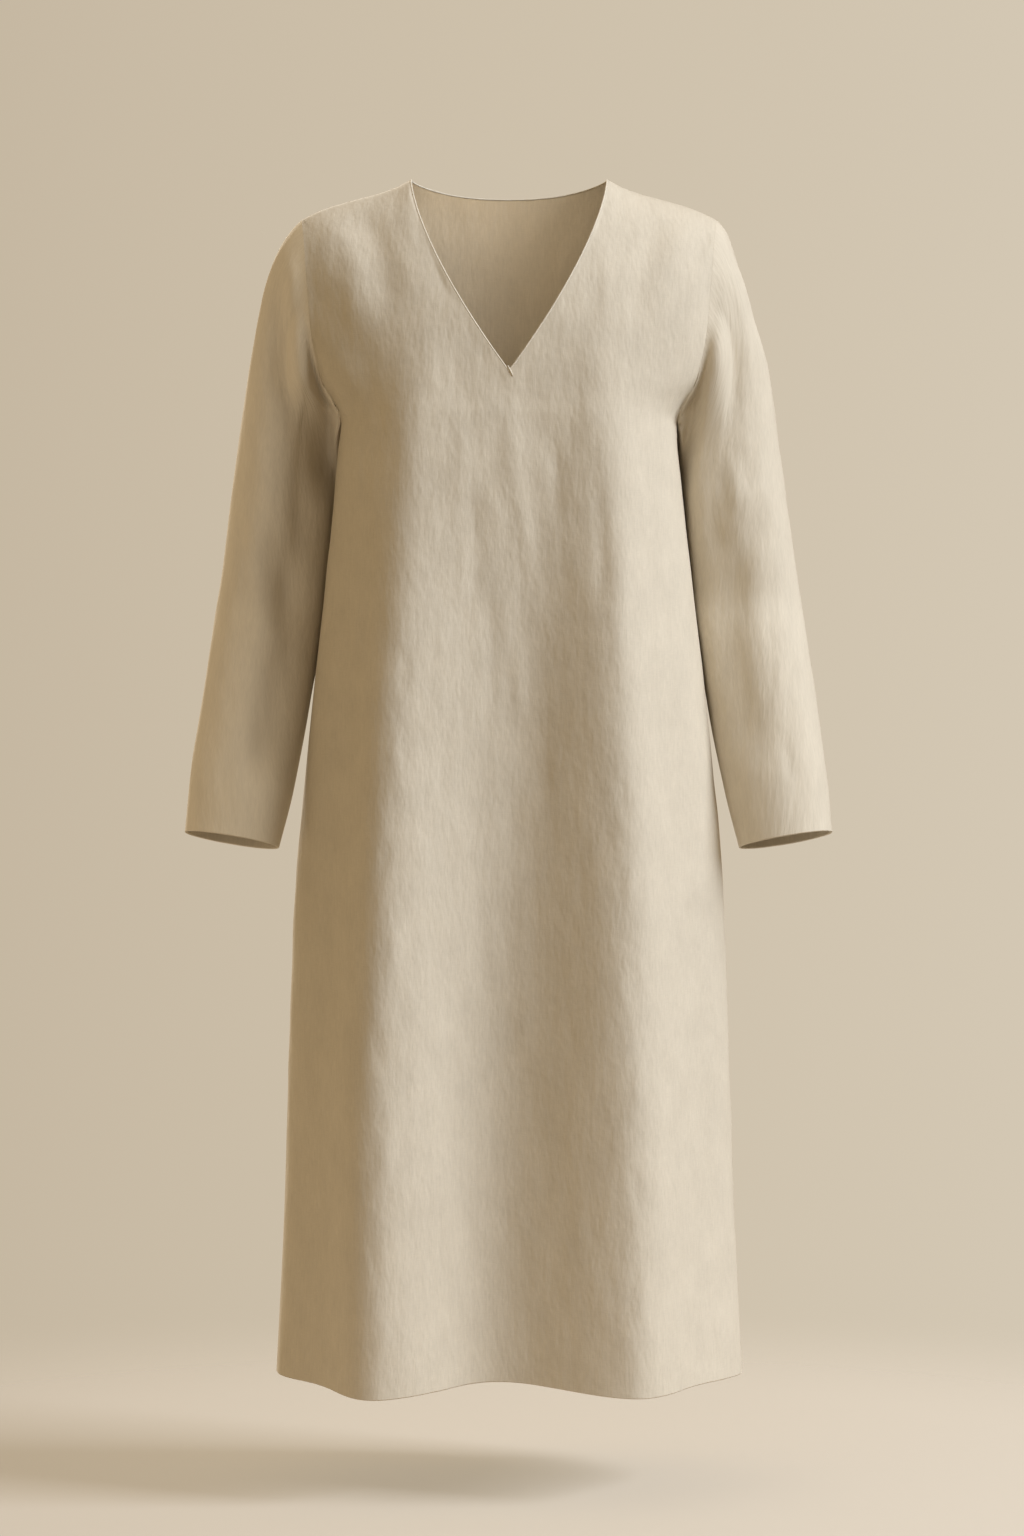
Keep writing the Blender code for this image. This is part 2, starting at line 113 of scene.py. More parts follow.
# Cross-sections of the body at their drop below the shoulder ridge
Section = namedtuple("Section", "drop half_width front_depth back_depth squareness")
BODY_SECTIONS = table(
    Section,
    (0.0, 0.265, 0.098, 0.095, 2.4),
    (0.05, 0.2475, 0.104, 0.1, 2.4),
    (0.1, 0.228, 0.11, 0.106, 2.4),
    (0.15, 0.2145, 0.115, 0.111, 2.4),
    (0.182, 0.205, 0.118, 0.114, 2.4),
    (0.209, 0.193, 0.12, 0.115, 2.45),
    (0.229, 0.1765, 0.122, 0.116, 2.6),
    (0.245, 0.1675, 0.124, 0.116, 2.75),
    (0.3, 0.172, 0.126, 0.114, 2.65),
    (0.4, 0.1825, 0.126, 0.109, 2.5),
    (0.5, 0.194, 0.126, 0.107, 2.4),
    (0.6, 0.204, 0.126, 0.112, 2.3),
    (0.72, 0.2135, 0.127, 0.12, 2.2),
    (0.88, 0.22, 0.128, 0.125, 2.1),
    (1.04, 0.225, 0.13, 0.128, 2.0),
    (1.2, 0.233, 0.132, 0.132, 2.0),
)

# Height of the shoulder ridge at a distance out from the middle, in millimetres
Ridge = namedtuple("Ridge", "out height")
SHOULDER_RIDGE = millimetres(
    Ridge,
    (0, 18),
    (50, 13),
    (97, 0),
    (111, -7.5),
    (132, -15),
    (160, -22.5),
    (180, -28.5),
    (197, -35.5),
    (210, -42.5),
    (240, -68),
)

# Places on the armhole seam: the share of its way from the shoulder's tip to the underarm,
# the angle round the body and the drop
Armhole = namedtuple("Armhole", "share degrees drop")
ARMHOLE = table(
    Armhole,
    (0.0, 47.5, 0.0),
    (0.13, 48.3, 0.017),
    (0.25, 50.5, 0.05),
    (0.4, 56.0, 0.1),
    (0.55, 60.5, 0.148),
    (0.66, 63.5, 0.182),
    (0.76, 66.0, 0.209),
    (0.85, 70.0, 0.229),
    (0.93, 78.0, 0.241),
    (1.0, 90.0, UNDERARM_DROP),
)

# Soft folds hanging in each panel: the drop they start at, their place across there and at
# the hem, their half width at both, and how far they stand out at the hem (or sink in, if
# negative), in millimetres
Fold = namedtuple("Fold", "start across_start across_hem half_start half_hem depth")
FRONT_FOLDS = millimetres(
    Fold,
    (100, -86, -122, 29, 48, 47),
    (140, -20, -40, 22, 28, -6),
    (140, 44, -4, 44, 52, -29),
    (100, 92, 118, 28, 52, 40),
)
BACK_FOLDS = millimetres(
    Fold,
    (160, -85, -142, 30, 50, 30),
    (200, -30, -56, 30, 46, -26),
    (160, 12, 34, 28, 48, 24),
    (240, 62, 92, 28, 40, -18),
    (160, 100, 150, 28, 46, 26),
)
FOLD_ONSET = 0.12
FOLD_SIDE_FADE = 6

# Cross-sections of a sleeve below its cap, from upper arm to cuff, in millimetres
Ring = namedtuple("Ring", "drop out forward half_width half_depth")
SLEEVE_RINGS = millimetres(
    Ring,
    (300, 224.8, -28, 52.2, 60),
    (360, 231.9, -30, 53.2, 59),
    (420, 238.9, -26, 53.7, 57),
    (480, 247, -14, 54.1, 55),
    (540, 255.5, -1, 53.5, 52),
    (600, 265.5, 12, 51.8, 49),
    (659, 275.5, 24, 47.5, 46),
)
SLEEVE_END = SLEEVE_RINGS[-1].drop

# Way in which the sleeve leaves the armhole, and how strongly, at four places round it
Leave = namedtuple("Leave", "out forward down pull")
LEAVE_TOP = Leave(0.72, 0.0, 0.69, 0.17)
LEAVE_FRONT = Leave(0.72, 0.25, 0.65, 0.14)
LEAVE_BACK = Leave(0.72, -0.22, 0.65, 0.14)
LEAVE_UNDER = Leave(0.35, 0.0, 0.94, 0.015)
CAP_ARRIVAL = 0.27
CAP_ARRIVAL_UNDER = 0.06
ELBOW_DROP = 0.425
ELBOW_HEIGHT = 0.03
ELBOW_DEPTH = 0.006
# How far a cuff's front hangs lower, and its back higher, than square to the arm
CUFF_TILT = 0.0035
CUFF_TILT_START = 0.05

# Creases pressed into the cloth, seen from the front: both ends of each, how wide and how
# high it is (a trough if negative), and how far its middle bows to the wearer's left, all in
# millimetres
Crease = namedtuple("Crease", "x_from z_from x_to z_to half_width height bow")
FRONT_CREASES = millimetres(
    Crease,
    # Pulls from the wearer's right shoulder across to the chest
    (-186, -36, -140, -112, 12, 1.2, 3),
    (-196, -20, -138, -180, 19, 2.6, 5),
    (-150, -52, -118, -116, 7, 0.6, 2),
    (-200, -92, -146, -212, 15, -1.6, 4),
    (-148, -20, -112, -160, 15, -3.4, 4),
    (-80, -30, -48, -150, 20, -1.6, 0),
    (-118, -40, -88, -104, 8, -0.6, 1),
    # Softer ones from the left shoulder
    (178, -40, 126, -150, 14, 1, 0),
    (150, -34, 122, -172, 15, -2, -3),
    (200, -52, 176, -104, 9, -0.8, 0),
    # Upright ones below the point of the V
    (-52, -215, -49, -372, 10, 1.1, 3),
    (-34, -300, -28, -452, 7.5, -1, -2),
    (-8, -214, 22, -425, 9, 1.4, 3),
    (-20, -400, -18, -566, 6.5, -1.1, 2),
    (8, -452, 10, -548, 7.5, 1, 0),
    (45, -258, 48, -366, 5.5, -1.2, -1),
    (62, -270, 66, -350, 8, 0.9, 1),
    (84, -296, 90, -436, 7.5, -1.4, 2),
    (108, -320, 112, -545, 10, 1.2, -2),
    (30, -520, 36, -640, 8, -0.9, 2),
    (-62, -430, -68, -560, 8, 0.9, 1),
    # Dimple below the point of the V
    (-6, -206, -1, -222, 4, -0.7, 0),
    # Dents along the crest of the wearer's right fold
    (-98, -470, -106, -522, 5.5, -0.9, 1),
    (-112, -560, -104, -620, 6, 0.8, 0),
    (-118, -655, -126, -700, 5.5, -1, 1),
    (-108, -735, -118, -800, 6.5, 0.9, 2),
    (-130, -830, -122, -884, 6, -1, 0),
    (-114, -930, -124, -1000, 6.5, 0.9, 1),
    (-136, -1030, -126, -1092, 6, -1, 1),
    (-118, -1110, -126, -1170, 6, 0.8, 0),
    # And along the other fold's
    (106, -590, 112, -640, 5.5, -0.9, 1),
    (122, -668, 114, -730, 6, 0.9, 0),
    (114, -770, 124, -822, 6, -1.1, 1),
    (128, -862, 120, -930, 6, 0.9, 1),
    (118, -968, 128, -1020, 5.5, -1, 0),
    (132, -1058, 126, -1130, 6.5, 0.9, 1),
    # Long faint ones in the skirt
    (10, -700, 16, -900, 14, 1, 4),
    (-50, -760, -62, -1010, 13, -0.9, 3),
    (62, -840, 72, -1080, 12, 0.9, -3),
    (-172, -800, -180, -1060, 12, 1, 2),
    (176, -700, 186, -960, 13, -0.9, 2),
)
BACK_CREASES = millimetres(
    Crease,
    (170, -44, 112, -160, 11, 1.5, 3),
    (140, -30, 82, -190, 9, -1.2, 2),
    (-172, -42, -124, -150, 10, 1.4, -3),
    (-120, -36, -70, -172, 11, -1.1, 0),
    (0, -60, 10, -240, 12, 1.2, 4),
    (-48, -180, -56, -360, 9.5, 1.2, 3),
    (46, -220, 52, -410, 9, -1.2, -2),
    (-90, -300, -86, -450, 8, -1.1, 2),
    (88, -330, 98, -520, 10, 1.2, 0),
    (-10, -380, -18, -560, 8, -1, 3),
    (20, -520, 28, -700, 11, 1, 2),
    (-112, -560, -122, -640, 6, -0.9, 1),
    (116, -610, 124, -680, 6, 0.9, 1),
    (-124, -760, -132, -840, 6.5, 0.9, 1),
    (130, -800, 122, -870, 6, -1, 1),
    (-140, -930, -130, -1020, 6.5, -1, 1),
    (138, -980, 146, -1070, 7, 0.9, 1),
    (-30, -780, -42, -1020, 13, 1, 3),
    (60, -860, 70, -1100, 12, -1, 2),
)
# Creases of the sleeves, all seen from the front, those of the backs through the sleeve
LEFT_SLEEVE_FRONT = millimetres(
    Crease,
    (214, -85, 199, -205, 9, 1.6, -2),
    (226, -130, 222, -262, 7.5, -1.1, 2),
    (208, -230, 198, -400, 15, 2.2, -3),
    (262, -318, 196, -436, 17, -4.2, 6),
    (246, -290, 198, -372, 15, 2.6, 4),
    (232, -262, 236, -322, 6, -1.1, 1),
    (209, -288, 216, -352, 5.5, -1, 1),
    (221, -272, 226, -338, 5.5, 0.9, 0),
    (250, -270, 252, -330, 6, 0.9, 1),
    (256, -420, 262, -480, 6, -0.9, 1),
    (268, -470, 262, -540, 6, 0.9, 1),
    (272, -556, 280, -604, 5.5, -0.9, 0),
    (230, -430, 246, -540, 10, 1.1, 2),
    (290, -500, 300, -620, 9, 0.9, 0),
)
RIGHT_SLEEVE_FRONT = millimetres(
    Crease,
    (-228, -100, -222, -240, 9, -1.2, -2),
    (-250, -230, -252, -400, 12, 1.3, 0),
    (-232, -250, -226, -350, 9, -1.1, -1),
    (-252, -352, -196, -436, 18, -5.8, -6),
    (-258, -420, -204, -476, 17, 3, -5),
    (-240, -300, -196, -386, 14, 2, -4),
    (-268, -430, -280, -560, 10, -1, 2),
    (-250, -470, -262, -610, 11, 1.3, -2),
    (-276, -560, -284, -628, 7, -0.9, 0),
    (-236, -520, -248, -620, 8, -0.8, 1),
)
SLEEVE_BACK = millimetres(
    Crease,
    (214, -90, 204, -220, 10, 1.5, -2),
    (236, -160, 230, -300, 9, -1.2, 2),
    (210, -330, 270, -392, 13, 2.8, 3),
    (206, -384, 276, -420, 12, -2.6, 3),
    (214, -424, 280, -472, 14, 2.4, 2),
    (226, -480, 240, -590, 9, -1.1, 0),
    (262, -500, 276, -630, 9, 1.1, 2),
)
CREASE_TAPER = 0.35

# Where a sleeve hangs against the side: its front rounds away towards the body, and behind
# the side's widest line it bulges in, so that nothing shows between the two. The left one's
# head is slimmer too
Tuck = namedtuple("Tuck", "degrees spread z_top z_bottom height")
RIGHT_SLEEVE_TUCKS = table(
    Tuck,
    (119, 37, -0.195, -0.62, -0.0165),
    (200, 15, -0.225, -0.52, 0.003),
)
LEFT_SLEEVE_TUCKS = table(
    Tuck,
    (0, 60, -0.03, -0.19, -0.0062),
    (118, 30, -0.31, -0.6, -0.007),
    (164, 18, -0.19, -0.33, -0.0015),
    (200, 15, -0.225, -0.52, 0.003),
)
# Rolls and hollows of each sleeve's front beside the body, straight forward or back
RIGHT_SLEEVE_ROLLS = millimetres(Crease, (-191, -128, -171, -340, 10, -29, 0))
LEFT_SLEEVE_ROLLS = millimetres(
    Crease,
    (190, -140, 173, -320, 8.5, -22, 0),
    (178, -222, 186, -415, 15, 12.5, 0),
    (188, -410, 198, -540, 13, 5, 0),
)
# How tucks and rolls grow in: at their ends, past the seam and round to the front
TUCK_ONSET = 0.06
TUCK_START = 0.03
ROLL_START = 0.007
ROLL_EDGE = -0.2
ROLL_GROWTH = 0.5

# Creases that run over the armhole seams, straight forward or back in panel and sleeve alike
ARMHOLE_CREASES = millimetres(
    Crease,
    (-219, -60, -209, -200, 9.5, 6.6, 1),
    (206, -100, 186, -215, 11, -2.8, 0),
    (224, -90, 206, -235, 13, 0.8, 0),
)

# Pit in front of each armpit, where panel and sleeve sink in along their seam: how much of
# their way forward they lose there, the seam's shares at which that starts and is full, and
# the pit's half width on each
Pit = namedtuple("Pit", "loss start full panel_half sleeve_half")
RIGHT_PIT = Pit(0.3, 0.66, 0.88, 0.0025, 0.009)
LEFT_PIT = Pit(0.4, 0.72, 0.92, 0.004, 0.0075)
PIT_STEPS = 40

# Fine crinkle of washed linen: grains along the warp, each this wide, long and high
Grain = namedtuple("Grain", "wide long height seed")
CRINKLE = table(
    Grain,
    (0.0075, 0.026, 0.00013, 11),
    (0.013, 0.036, 0.00036, 12),
    (0.024, 0.05, 0.00056, 13),
    (0.048, 0.1, 0.00075, 14),
    (0.09, 0.22, 0.001, 15),
)
WANDER = Grain(0.03, 0.034, 0.0045, 21)
PATCHES = Grain(0.09, 0.14, 0.35, 22)
LATTICE = 256
# Length over which it closes up round a sleeve, and its shift round the right one
SLEEVE_ROUND = 0.36
MIRRORED_SHIFT = SLEEVE_ROUND / 3

# Where relief fades: beside the body, at edges and, for creases, as a sleeve turns away
BESIDE_BODY = 0.3
EDGE_FADE = 0.03
SIDE_FADE = 0.012
FACING_FADE = 0.35

# How far the sleeve runs on smoothly from the panels: wholly at the cap's front and back, less
# over its top and not at all under the arm, at cosines of the turn from the shoulder's tip
CAP_FLOW_START = -0.45
CAP_FLOW_GROWTH = 0.6
CAP_FLOW_TOP = 0.35
CAP_FLOW_TOP_START = 0.86

# Colours, as light reflected
LINEN = (0.7, 0.63, 0.512)
# The binding's linen is painted lighter than the panels' linen: a painted highlight along the neck
# edge
LINEN_BINDING_PAINTED_LIGHTER = (0.78, 0.715, 0.6)
FLOOR_COLOUR = (0.88, 0.81, 0.72)

# Grains of the linen's texture: how wide and long they are on the flat cloth, how finely they
# break up, and their shares in tone and finest relief
Texture = namedtuple("Texture", "wide long detail tone relief")
TEXTURES = table(
    Texture,
    # Threads of the warp and of the weft, then slubs and mottled patches
    (0.0012, 0.01, 2.0, 0.3, 0.06),
    (0.008, 0.0012, 2.0, 0.2, 0.04),
    (0.003, 0.03, 3.0, 0.2, 0.0),
    (0.03, 0.04, 3.0, 0.3, 0.0),
    # Small dents
    (0.007, 0.018, 1.0, 0.0, 0.65),
    (0.0034, 0.008, 1.0, 0.0, 0.24),
)
THREAD_PITCH = 0.0007
WAVE_PER_METRE = 2 * pi / 20
WEAVE_RELIEF = 0.015
BUMP_DISTANCE = 0.001

# Shades of the linen's colour, and the tones they are reached at
Shade = namedtuple("Shade", "tone strength")
SHADES = table(Shade, (0.36, 0.92), (0.64, 1.07))
SHADER = "Principled BSDF"
FINISH = {
    "Roughness": 0.9,
    "Specular IOR Level": 0.25,
    "Sheen Weight": 0.25,
    "Sheen Roughness": 0.5,
    "Sheen Tint": (1.0, 0.96, 0.88, 1.0),
}

# Camera, level with the middle of the dress, and the stage
CAMERA_PLACE = (0.003, -4.1, -0.588)
CAMERA_LENS = 96.1
FLOOR_HEIGHT = -1.3
FLOOR_RADIUS = 2.6
FLOOR_SIDES = 96
FLOOR_FADE = (0.6, 1.35)
FLOOR_OPACITY = 0.4

# Backdrop's colours from the wearer's right to left, with painted shade: darker on the wearer's
# right, away from the key lamp. Then the light from all round: its strengths at the right and
# left, and straight from the front and from beside the dress
Stop = namedtuple("Stop", "place colour")
BACKDROP_WITH_PAINTED_SHADE = table(
    Stop,
    (0.0, (0.38, 0.3, 0.2)),
    (0.42, (0.56, 0.475, 0.36)),
    (0.5, (0.615, 0.53, 0.405)),
    (0.58, (0.66, 0.58, 0.46)),
    (1.0, (0.74, 0.68, 0.58)),
)
AMBIENT = (0.4, 0.305, 0.184)
AMBIENT_RIGHT_TO_LEFT = (1.25, 0.7)
AMBIENT_FRONT_TO_BESIDE = (0.12, 1.1)
BESIDE = -0.2

# Lamps: large far ones, turned to the wearer's left by their azimuth, and smaller ones
FarLamp = namedtuple("FarLamp", "name azimuth height power colour")
KEY = FarLamp("key", 62, 3.8, 815, (0.78, 0.83, 0.9))
RIGHT_SLEEVE_KEY = FarLamp("key_right_sleeve", 68, 3.8, 620, (0.92, 0.87, 0.78))
GLOW = FarLamp("glow", -10, 0.6, 50, (1.0, 0.7625, 0.46))
RIGHT_SLEEVE_GLOW = FarLamp("glow_right_sleeve", -38, 0.6, 86, (1.0, 0.83, 0.62))
FAR_AWAY = 6.33
FAR_TARGET = (0.0, 0.0, -0.5)
FAR_SIZE = 6.0
Lamp = namedtuple("Lamp", "name place target size power colour")
CUFF_FILL = Lamp("cuff_fill", (0, -3, -1.2), (0, 0, -0.66), 0.6, 4, (1.0, 0.9, 0.76))
FLOOR_KEY = Lamp("floor_key", (6.1, -1.7, 3.0), (0, 0, -1.3), 3.2, 800, (0.79, 0.83, 0.91))
RIM = Lamp("rim", (-1.5, 4.0, 1.2), (0, 0, -0.5), 1.0, 130, (1.0, 0.93, 0.82))
# Within the neck, so that it reaches the inside of the back alone
NECK_PLACE = (-0.035, -0.055, -0.022)
NECK_TARGET = (-0.045, 0.11, -0.05)
NECK_FILL = Lamp("neck_fill", NECK_PLACE, NECK_TARGET, 0.12, 0.092, (1.0, 0.86, 0.67))


def blend(start, end, share):
    return start + (end - start) * share


def glide(start, leave, end, arrive, t):
    """Smooth way from start to end as t runs from 0 to 1, with these slopes at its ends."""
    return (
        start * (1 + 2 * t) * (1 - t) ** 2
        + leave * t * (1 - t) ** 2
        + end * t**2 * (3 - 2 * t)
        + arrive * t**2 * (t - 1)
    )


def smooth(xs, ys, x):
    """Value at x of the smooth curve through (xs, ys), which never overshoots its points."""
    xs = np.asarray(xs, float)
    ys = np.asarray(ys, float)
    widths = np.diff(xs)
    rises = np.diff(ys) / widths
    slopes = np.zeros_like(ys)
    slopes[0], slopes[-1] = rises[0], rises[-1]
    before, after = rises[:-1], rises[1:]
    same_way = before * after > 0
    weighted = (widths[1:] + 2 * widths[:-1]) / np.where(same_way, before, 1.0)
    weighted = weighted + (2 * widths[1:] + widths[:-1]) / np.where(same_way, after, 1.0)
    slopes[1:-1] = np.where(same_way, 3 * (widths[1:] + widths[:-1]) / weighted, 0.0)
    x = np.clip(np.asarray(x, float), xs[0], xs[-1])
    k = np.clip(np.searchsorted(xs, x) - 1, 0, len(widths) - 1)
    t = (x - xs[k]) / widths[k]
    return glide(ys[k], slopes[k] * widths[k], ys[k + 1], slopes[k + 1] * widths[k], t)


def column(rows, name, at):
    """A table's named column at a value of its first column."""
    return smooth([row[0] for row in rows], [getattr(row, name) for row in rows], at)


def ease(t):
    """0 before 0, 1 after 1, and an even glide between them."""
    t = np.clip(t, 0.0, 1.0)
    return t * t * (3 - 2 * t)


def unit(vectors):
    return vectors / np.linalg.norm(vectors, axis=-1, keepdims=True)


def ridge_height(out):
    return column(SHOULDER_RIDGE, "height", np.abs(out))


# Runs down a sheet: the first unit of run rounds over the shoulder, the rest goes straight down


def drop_of_run(run):
    rounding = RIDGE_ROUNDING * (1 - np.cos(np.minimum(np.abs(run), 1.0) * pi / 2))
    return rounding + RIDGE_ROUNDING * pi / 2 * np.maximum(run - 1.0, 0.0)


def run_of_drop(drop):
    rounding = np.arccos(np.clip(1 - drop / RIDGE_ROUNDING, 0.0, 1.0)) * 2 / pi
    return rounding + np.maximum(drop - RIDGE_ROUNDING, 0.0) / (RIDGE_ROUNDING * pi / 2)


def drop_at_height(out, height):
    """Drop below the ridge of the sheet's point at this height, this far out."""
    ridge = ridge_height(out)
    left = np.maximum(SLOPE_FADE + height, 0.0)
    share = 2 * left / (SLOPE_FADE + np.sqrt(SLOPE_FADE**2 + 4 * ridge * left))
    return np.where(height > -SLOPE_FADE, SLOPE_FADE * (1 - share), -height)


def angle_at(out, drop):
    """Angle round the body of the sheet's point this far out at this drop."""
    across = np.clip(out / column(BODY_SECTIONS, "half_width", drop), -1.0, 1.0)
    squareness = column(BODY_SECTIONS, "squareness", drop)
    deep = (1 - np.abs(across) ** squareness) ** (1 / squareness)
    return np.arctan2(across, deep)


def fold_offset(folds, across, drop):
    """How far the folds move the cloth out at a place across and a drop."""
    total = np.zeros(np.broadcast(across, drop).shape)
    for fold in folds:
        below = drop - fold.start
        down = np.sin(np.clip(below / (LENGTH - fold.start), 0.0, 1.0) * pi / 2)
        middle = blend(fold.across_start, fold.across_hem, down)
        half = blend(fold.half_start, fold.half_hem, down)
        grown = fold.depth * down * ease(below / FOLD_ONSET)
        total = total + grown * np.exp(-(((across - middle) / half) ** 2))
    return total


def sheet_point(angle, run, side):
    """Point of the front or back sheet, on the cloth's outer face."""
    drop = drop_of_run(run)
    rounding = np.sin(np.clip(run, -1.0, 1.0) * pi / 2)
    half_width = column(BODY_SECTIONS, "half_width", drop)
    depth = column(BODY_SECTIONS, "front_depth" if side == FRONT else "back_depth", drop)
    power = column(BODY_SECTIONS, "squareness", drop)
    sine, cosine = np.sin(angle), np.cos(angle)
    reach = (np.abs(sine) ** power + np.abs(cosine) ** power) ** (1 / power)
    across, deep = sine / reach, cosine / reach
    out_x, out_y = across / half_width, deep / depth
    out_length = np.hypot(out_x, out_y)
    folds = FRONT_FOLDS if side == FRONT else BACK_FOLDS
    side_fade = 1 - np.abs(across) ** FOLD_SIDE_FADE
    offset = fold_offset(folds, half_width * across, drop) * side_fade
    x = half_width * across + offset * out_x / out_length
    y = side * (depth * rounding * deep + offset * out_y / out_length + SEAM_GAP / 2)
    fade = np.clip(1 - drop / SLOPE_FADE, 0.0, 1.0) ** 2
    z = ridge_height(half_width * across) * fade - drop
    near_hem = ease((drop - HEM_DIP_START) / (LENGTH - HEM_DIP_START))
    hem_dip = HEM_DIP_PER_FOLD * offset * near_hem
    return np.stack(np.broadcast_arrays(x, y, z - hem_dip), axis=-1)


def sheet_normal(angle, run, side):
    """Unit vector out of the cloth at a point of the sheet."""
    round_body = sheet_point(angle + STEP, run, side) - sheet_point(angle - STEP, run, side)
    down_body = sheet_point(angle, run + STEP, side) - sheet_point(angle, run - STEP, side)
    return unit(side * np.cross(round_body, down_body))


# Edges of the panels, as angle and run


def neckline(share, side, set_back):
    """Neck edge from the middle (share 0) to the shoulder ridge (share 1), set back into the
    panel by a distance."""
    out_most = NECK_HALF_WIDTH + set_back
    if side == FRONT:
        down = (1 - share) ** NECK_GATHER
        out = out_most * (1 - down**V_CURVE)
        spread = V_CURVE * NECK_HALF_WIDTH / V_DEPTH
        lowest = -(V_DEPTH + set_back * np.hypot(1, spread) / spread)
        highest = ridge_height(out_most)
        height = blend(highest, lowest, down)
    else:
        out = out_most * np.sin(share * pi / 2)
        middle = 1 - (out / out_most) ** BACK_NECK_CURVE
        height = ridge_height(out_most) * (1 - middle) - (BACK_NECK_DROP + set_back) * middle
    drop = np.maximum(drop_at_height(out, height), 0.0)
    return angle_at(out, drop), run_of_drop(drop)


def armhole(share):
    """Armhole seam from the shoulder's tip (share 0) to the underarm (share 1)."""
    angle = np.radians(column(ARMHOLE, "degrees", share))
    return angle, run_of_drop(column(ARMHOLE, "drop", share))


def shoulder_seam(share):
    """Seam along the ridge from the neck (share 0) to the armhole (share 1)."""
    start = NECK_HALF_WIDTH + BINDING_WIDTH
    tip = sheet_point(*armhole(np.zeros(1)), FRONT)[0, 0]
    out = blend(start, tip, share)
    return angle_at(out, np.zeros_like(out)), np.zeros_like(out)


def top_edge(side):
    """Upper edge of half a panel, from its middle out and round to the underarm."""
    neck = neckline(np.arange(NECK_COLUMNS) / NECK_COLUMNS, side, BINDING_WIDTH)
    seam = shoulder_seam(np.arange(SHOULDER_COLUMNS) / SHOULDER_COLUMNS)
    arm = armhole(np.arange(ARMHOLE_COLUMNS + 1) / ARMHOLE_COLUMNS)
    angle, run = (np.concatenate(edges) for edges in zip(neck, seam, arm))
    return angle, run


def panel_grid(side):
    """Angle and run of a panel's points: rows from hem to top, columns from side to side."""
    top_angle, top_run = top_edge(side)
    spread = np.linspace(0.0, 1.0, len(top_angle))
    hang_angle = pi / 2 * ((1 - COLUMN_SPREAD) * spread + COLUMN_SPREAD * spread**2)
    start_run = run_of_drop(BODICE_START)
    rows = []
    for drop in np.linspace(LENGTH, BODICE_START, SKIRT_ROWS + 1)[:-1]:
        rows.append((hang_angle, np.full_like(hang_angle, run_of_drop(drop))))
    for share in np.linspace(0.0, 1.0, BODICE_ROWS + 1):
        angle = blend(hang_angle, top_angle, share)
        rows.append((angle, blend(start_run, top_run, share)))
    angle = np.array([np.concatenate([-row[0][:0:-1], row[0]]) for row in rows])
    run = np.array([np.concatenate([row[1][:0:-1], row[1]]) for row in rows])
    return angle, run


# Relief of the cloth


def crease_relief(creases, x, z):
    """Height of the creases at places seen from the front."""
    total = np.zeros_like(x)
    for crease in creases:
        run_x, run_z = crease.x_to - crease.x_from, crease.z_to - crease.z_from
        length = np.hypot(run_x, run_z)
        along = ((x - crease.x_from) * run_x + (z - crease.z_from) * run_z) / length**2
        off = ((z - crease.z_from) * run_x - (x - crease.x_from) * run_z) / length
        off = off - crease.bow * 4 * along * (1 - along)
        taper = ease(along / CREASE_TAPER) * ease((1 - along) / CREASE_TAPER)
        total += crease.height * taper * np.exp(-((off / crease.half_width) ** 2))
    return total


def tuck_relief(tucks, turn, z):
    """Height of a sleeve's tucks round it and down it."""
    total = np.zeros_like(z)
    for tuck in tucks:
        away = (np.degrees(turn) - tuck.degrees + 180) % 360 - 180
        round_sleeve = np.exp(-((away / tuck.spread) ** 2))
        down = ease((tuck.z_top - z) / TUCK_ONSET) * ease((z - tuck.z_bottom) / TUCK_ONSET)
        total += tuck.height * round_sleeve * down
    return total


def pit_loss(points, pit):
    """Share of their way forward that points near an armhole seam lose in its pit."""
    shares = np.linspace(pit.start, 1.0, PIT_STEPS)
    seam = sheet_point(*armhole(shares), FRONT)
    away_x = np.abs(points[..., 0])[..., None] - seam[:, 0]
    away = np.hypot(away_x, points[..., 2][..., None] - seam[:, 2])
    half = np.where(away_x > 0, pit.sleeve_half, pit.panel_half)
    deep = ease((shares - pit.start) / (pit.full - pit.start))
    return pit.loss * (deep * np.exp(-((away / half) ** 2))).max(axis=-1)


def armhole_relief(points):
    """How far creases over the armhole seams and the pits move points of the front forwards."""
    x, y = points[..., 0], points[..., 1]
    total = crease_relief(ARMHOLE_CREASES, x, points[..., 2])
    lost = np.where(x < 0, pit_loss(points, RIGHT_PIT), pit_loss(points, LEFT_PIT))
    return total + np.minimum(y, 0.0) * lost


def grain(u, v, kind, around=None):
    """Smooth noise between plus and minus the kind's height. It closes up over a length
    around, where one is given."""
    values = np.random.default_rng(kind.seed).uniform(-1.0, 1.0, (LATTICE, LATTICE))
    cells = LATTICE if around is None else round(around / kind.wide)
    s = u / kind.wide if around is None else u / around * cells
    t = v / kind.long
    i, j = np.floor(s).astype(int), np.floor(t).astype(int)
    a, b = ease(s - i), ease(t - j)

    def across(j):
        return values[i % cells, j % LATTICE] * (1 - a) + values[(i + 1) % cells, j % LATTICE] * a

    return kind.height * (across(j) * (1 - b) + across(j + 1) * b)


def crinkle(u, v, around=None):
    """Height of the fine crinkle at places on the flat cloth, u across and v along it."""
    wandered = u + grain(u, v, WANDER, around)
    patch = 1 + grain(u, v, PATCHES, around)
    total = np.zeros_like(u)
    for k, kind in enumerate(CRINKLE):
        total += grain(wandered, v + k * kind.long / 2, kind, around)
    return total * patch


# Shells


def grid_normals(grid, wrap):
    """Normals of a grid of points, along the turn from its columns to its rows."""
    turned = np.roll(grid, -1, axis=1) - np.roll(grid, 1, axis=1)
    across = turned if wrap else np.gradient(grid, axis=1)
    return unit(np.cross(across, np.gradient(grid, axis=0)))


def add_object(name, data):
    thing = bpy.data.objects.new(name, data)
    bpy.context.scene.collection.objects.link(thing)
    return thing


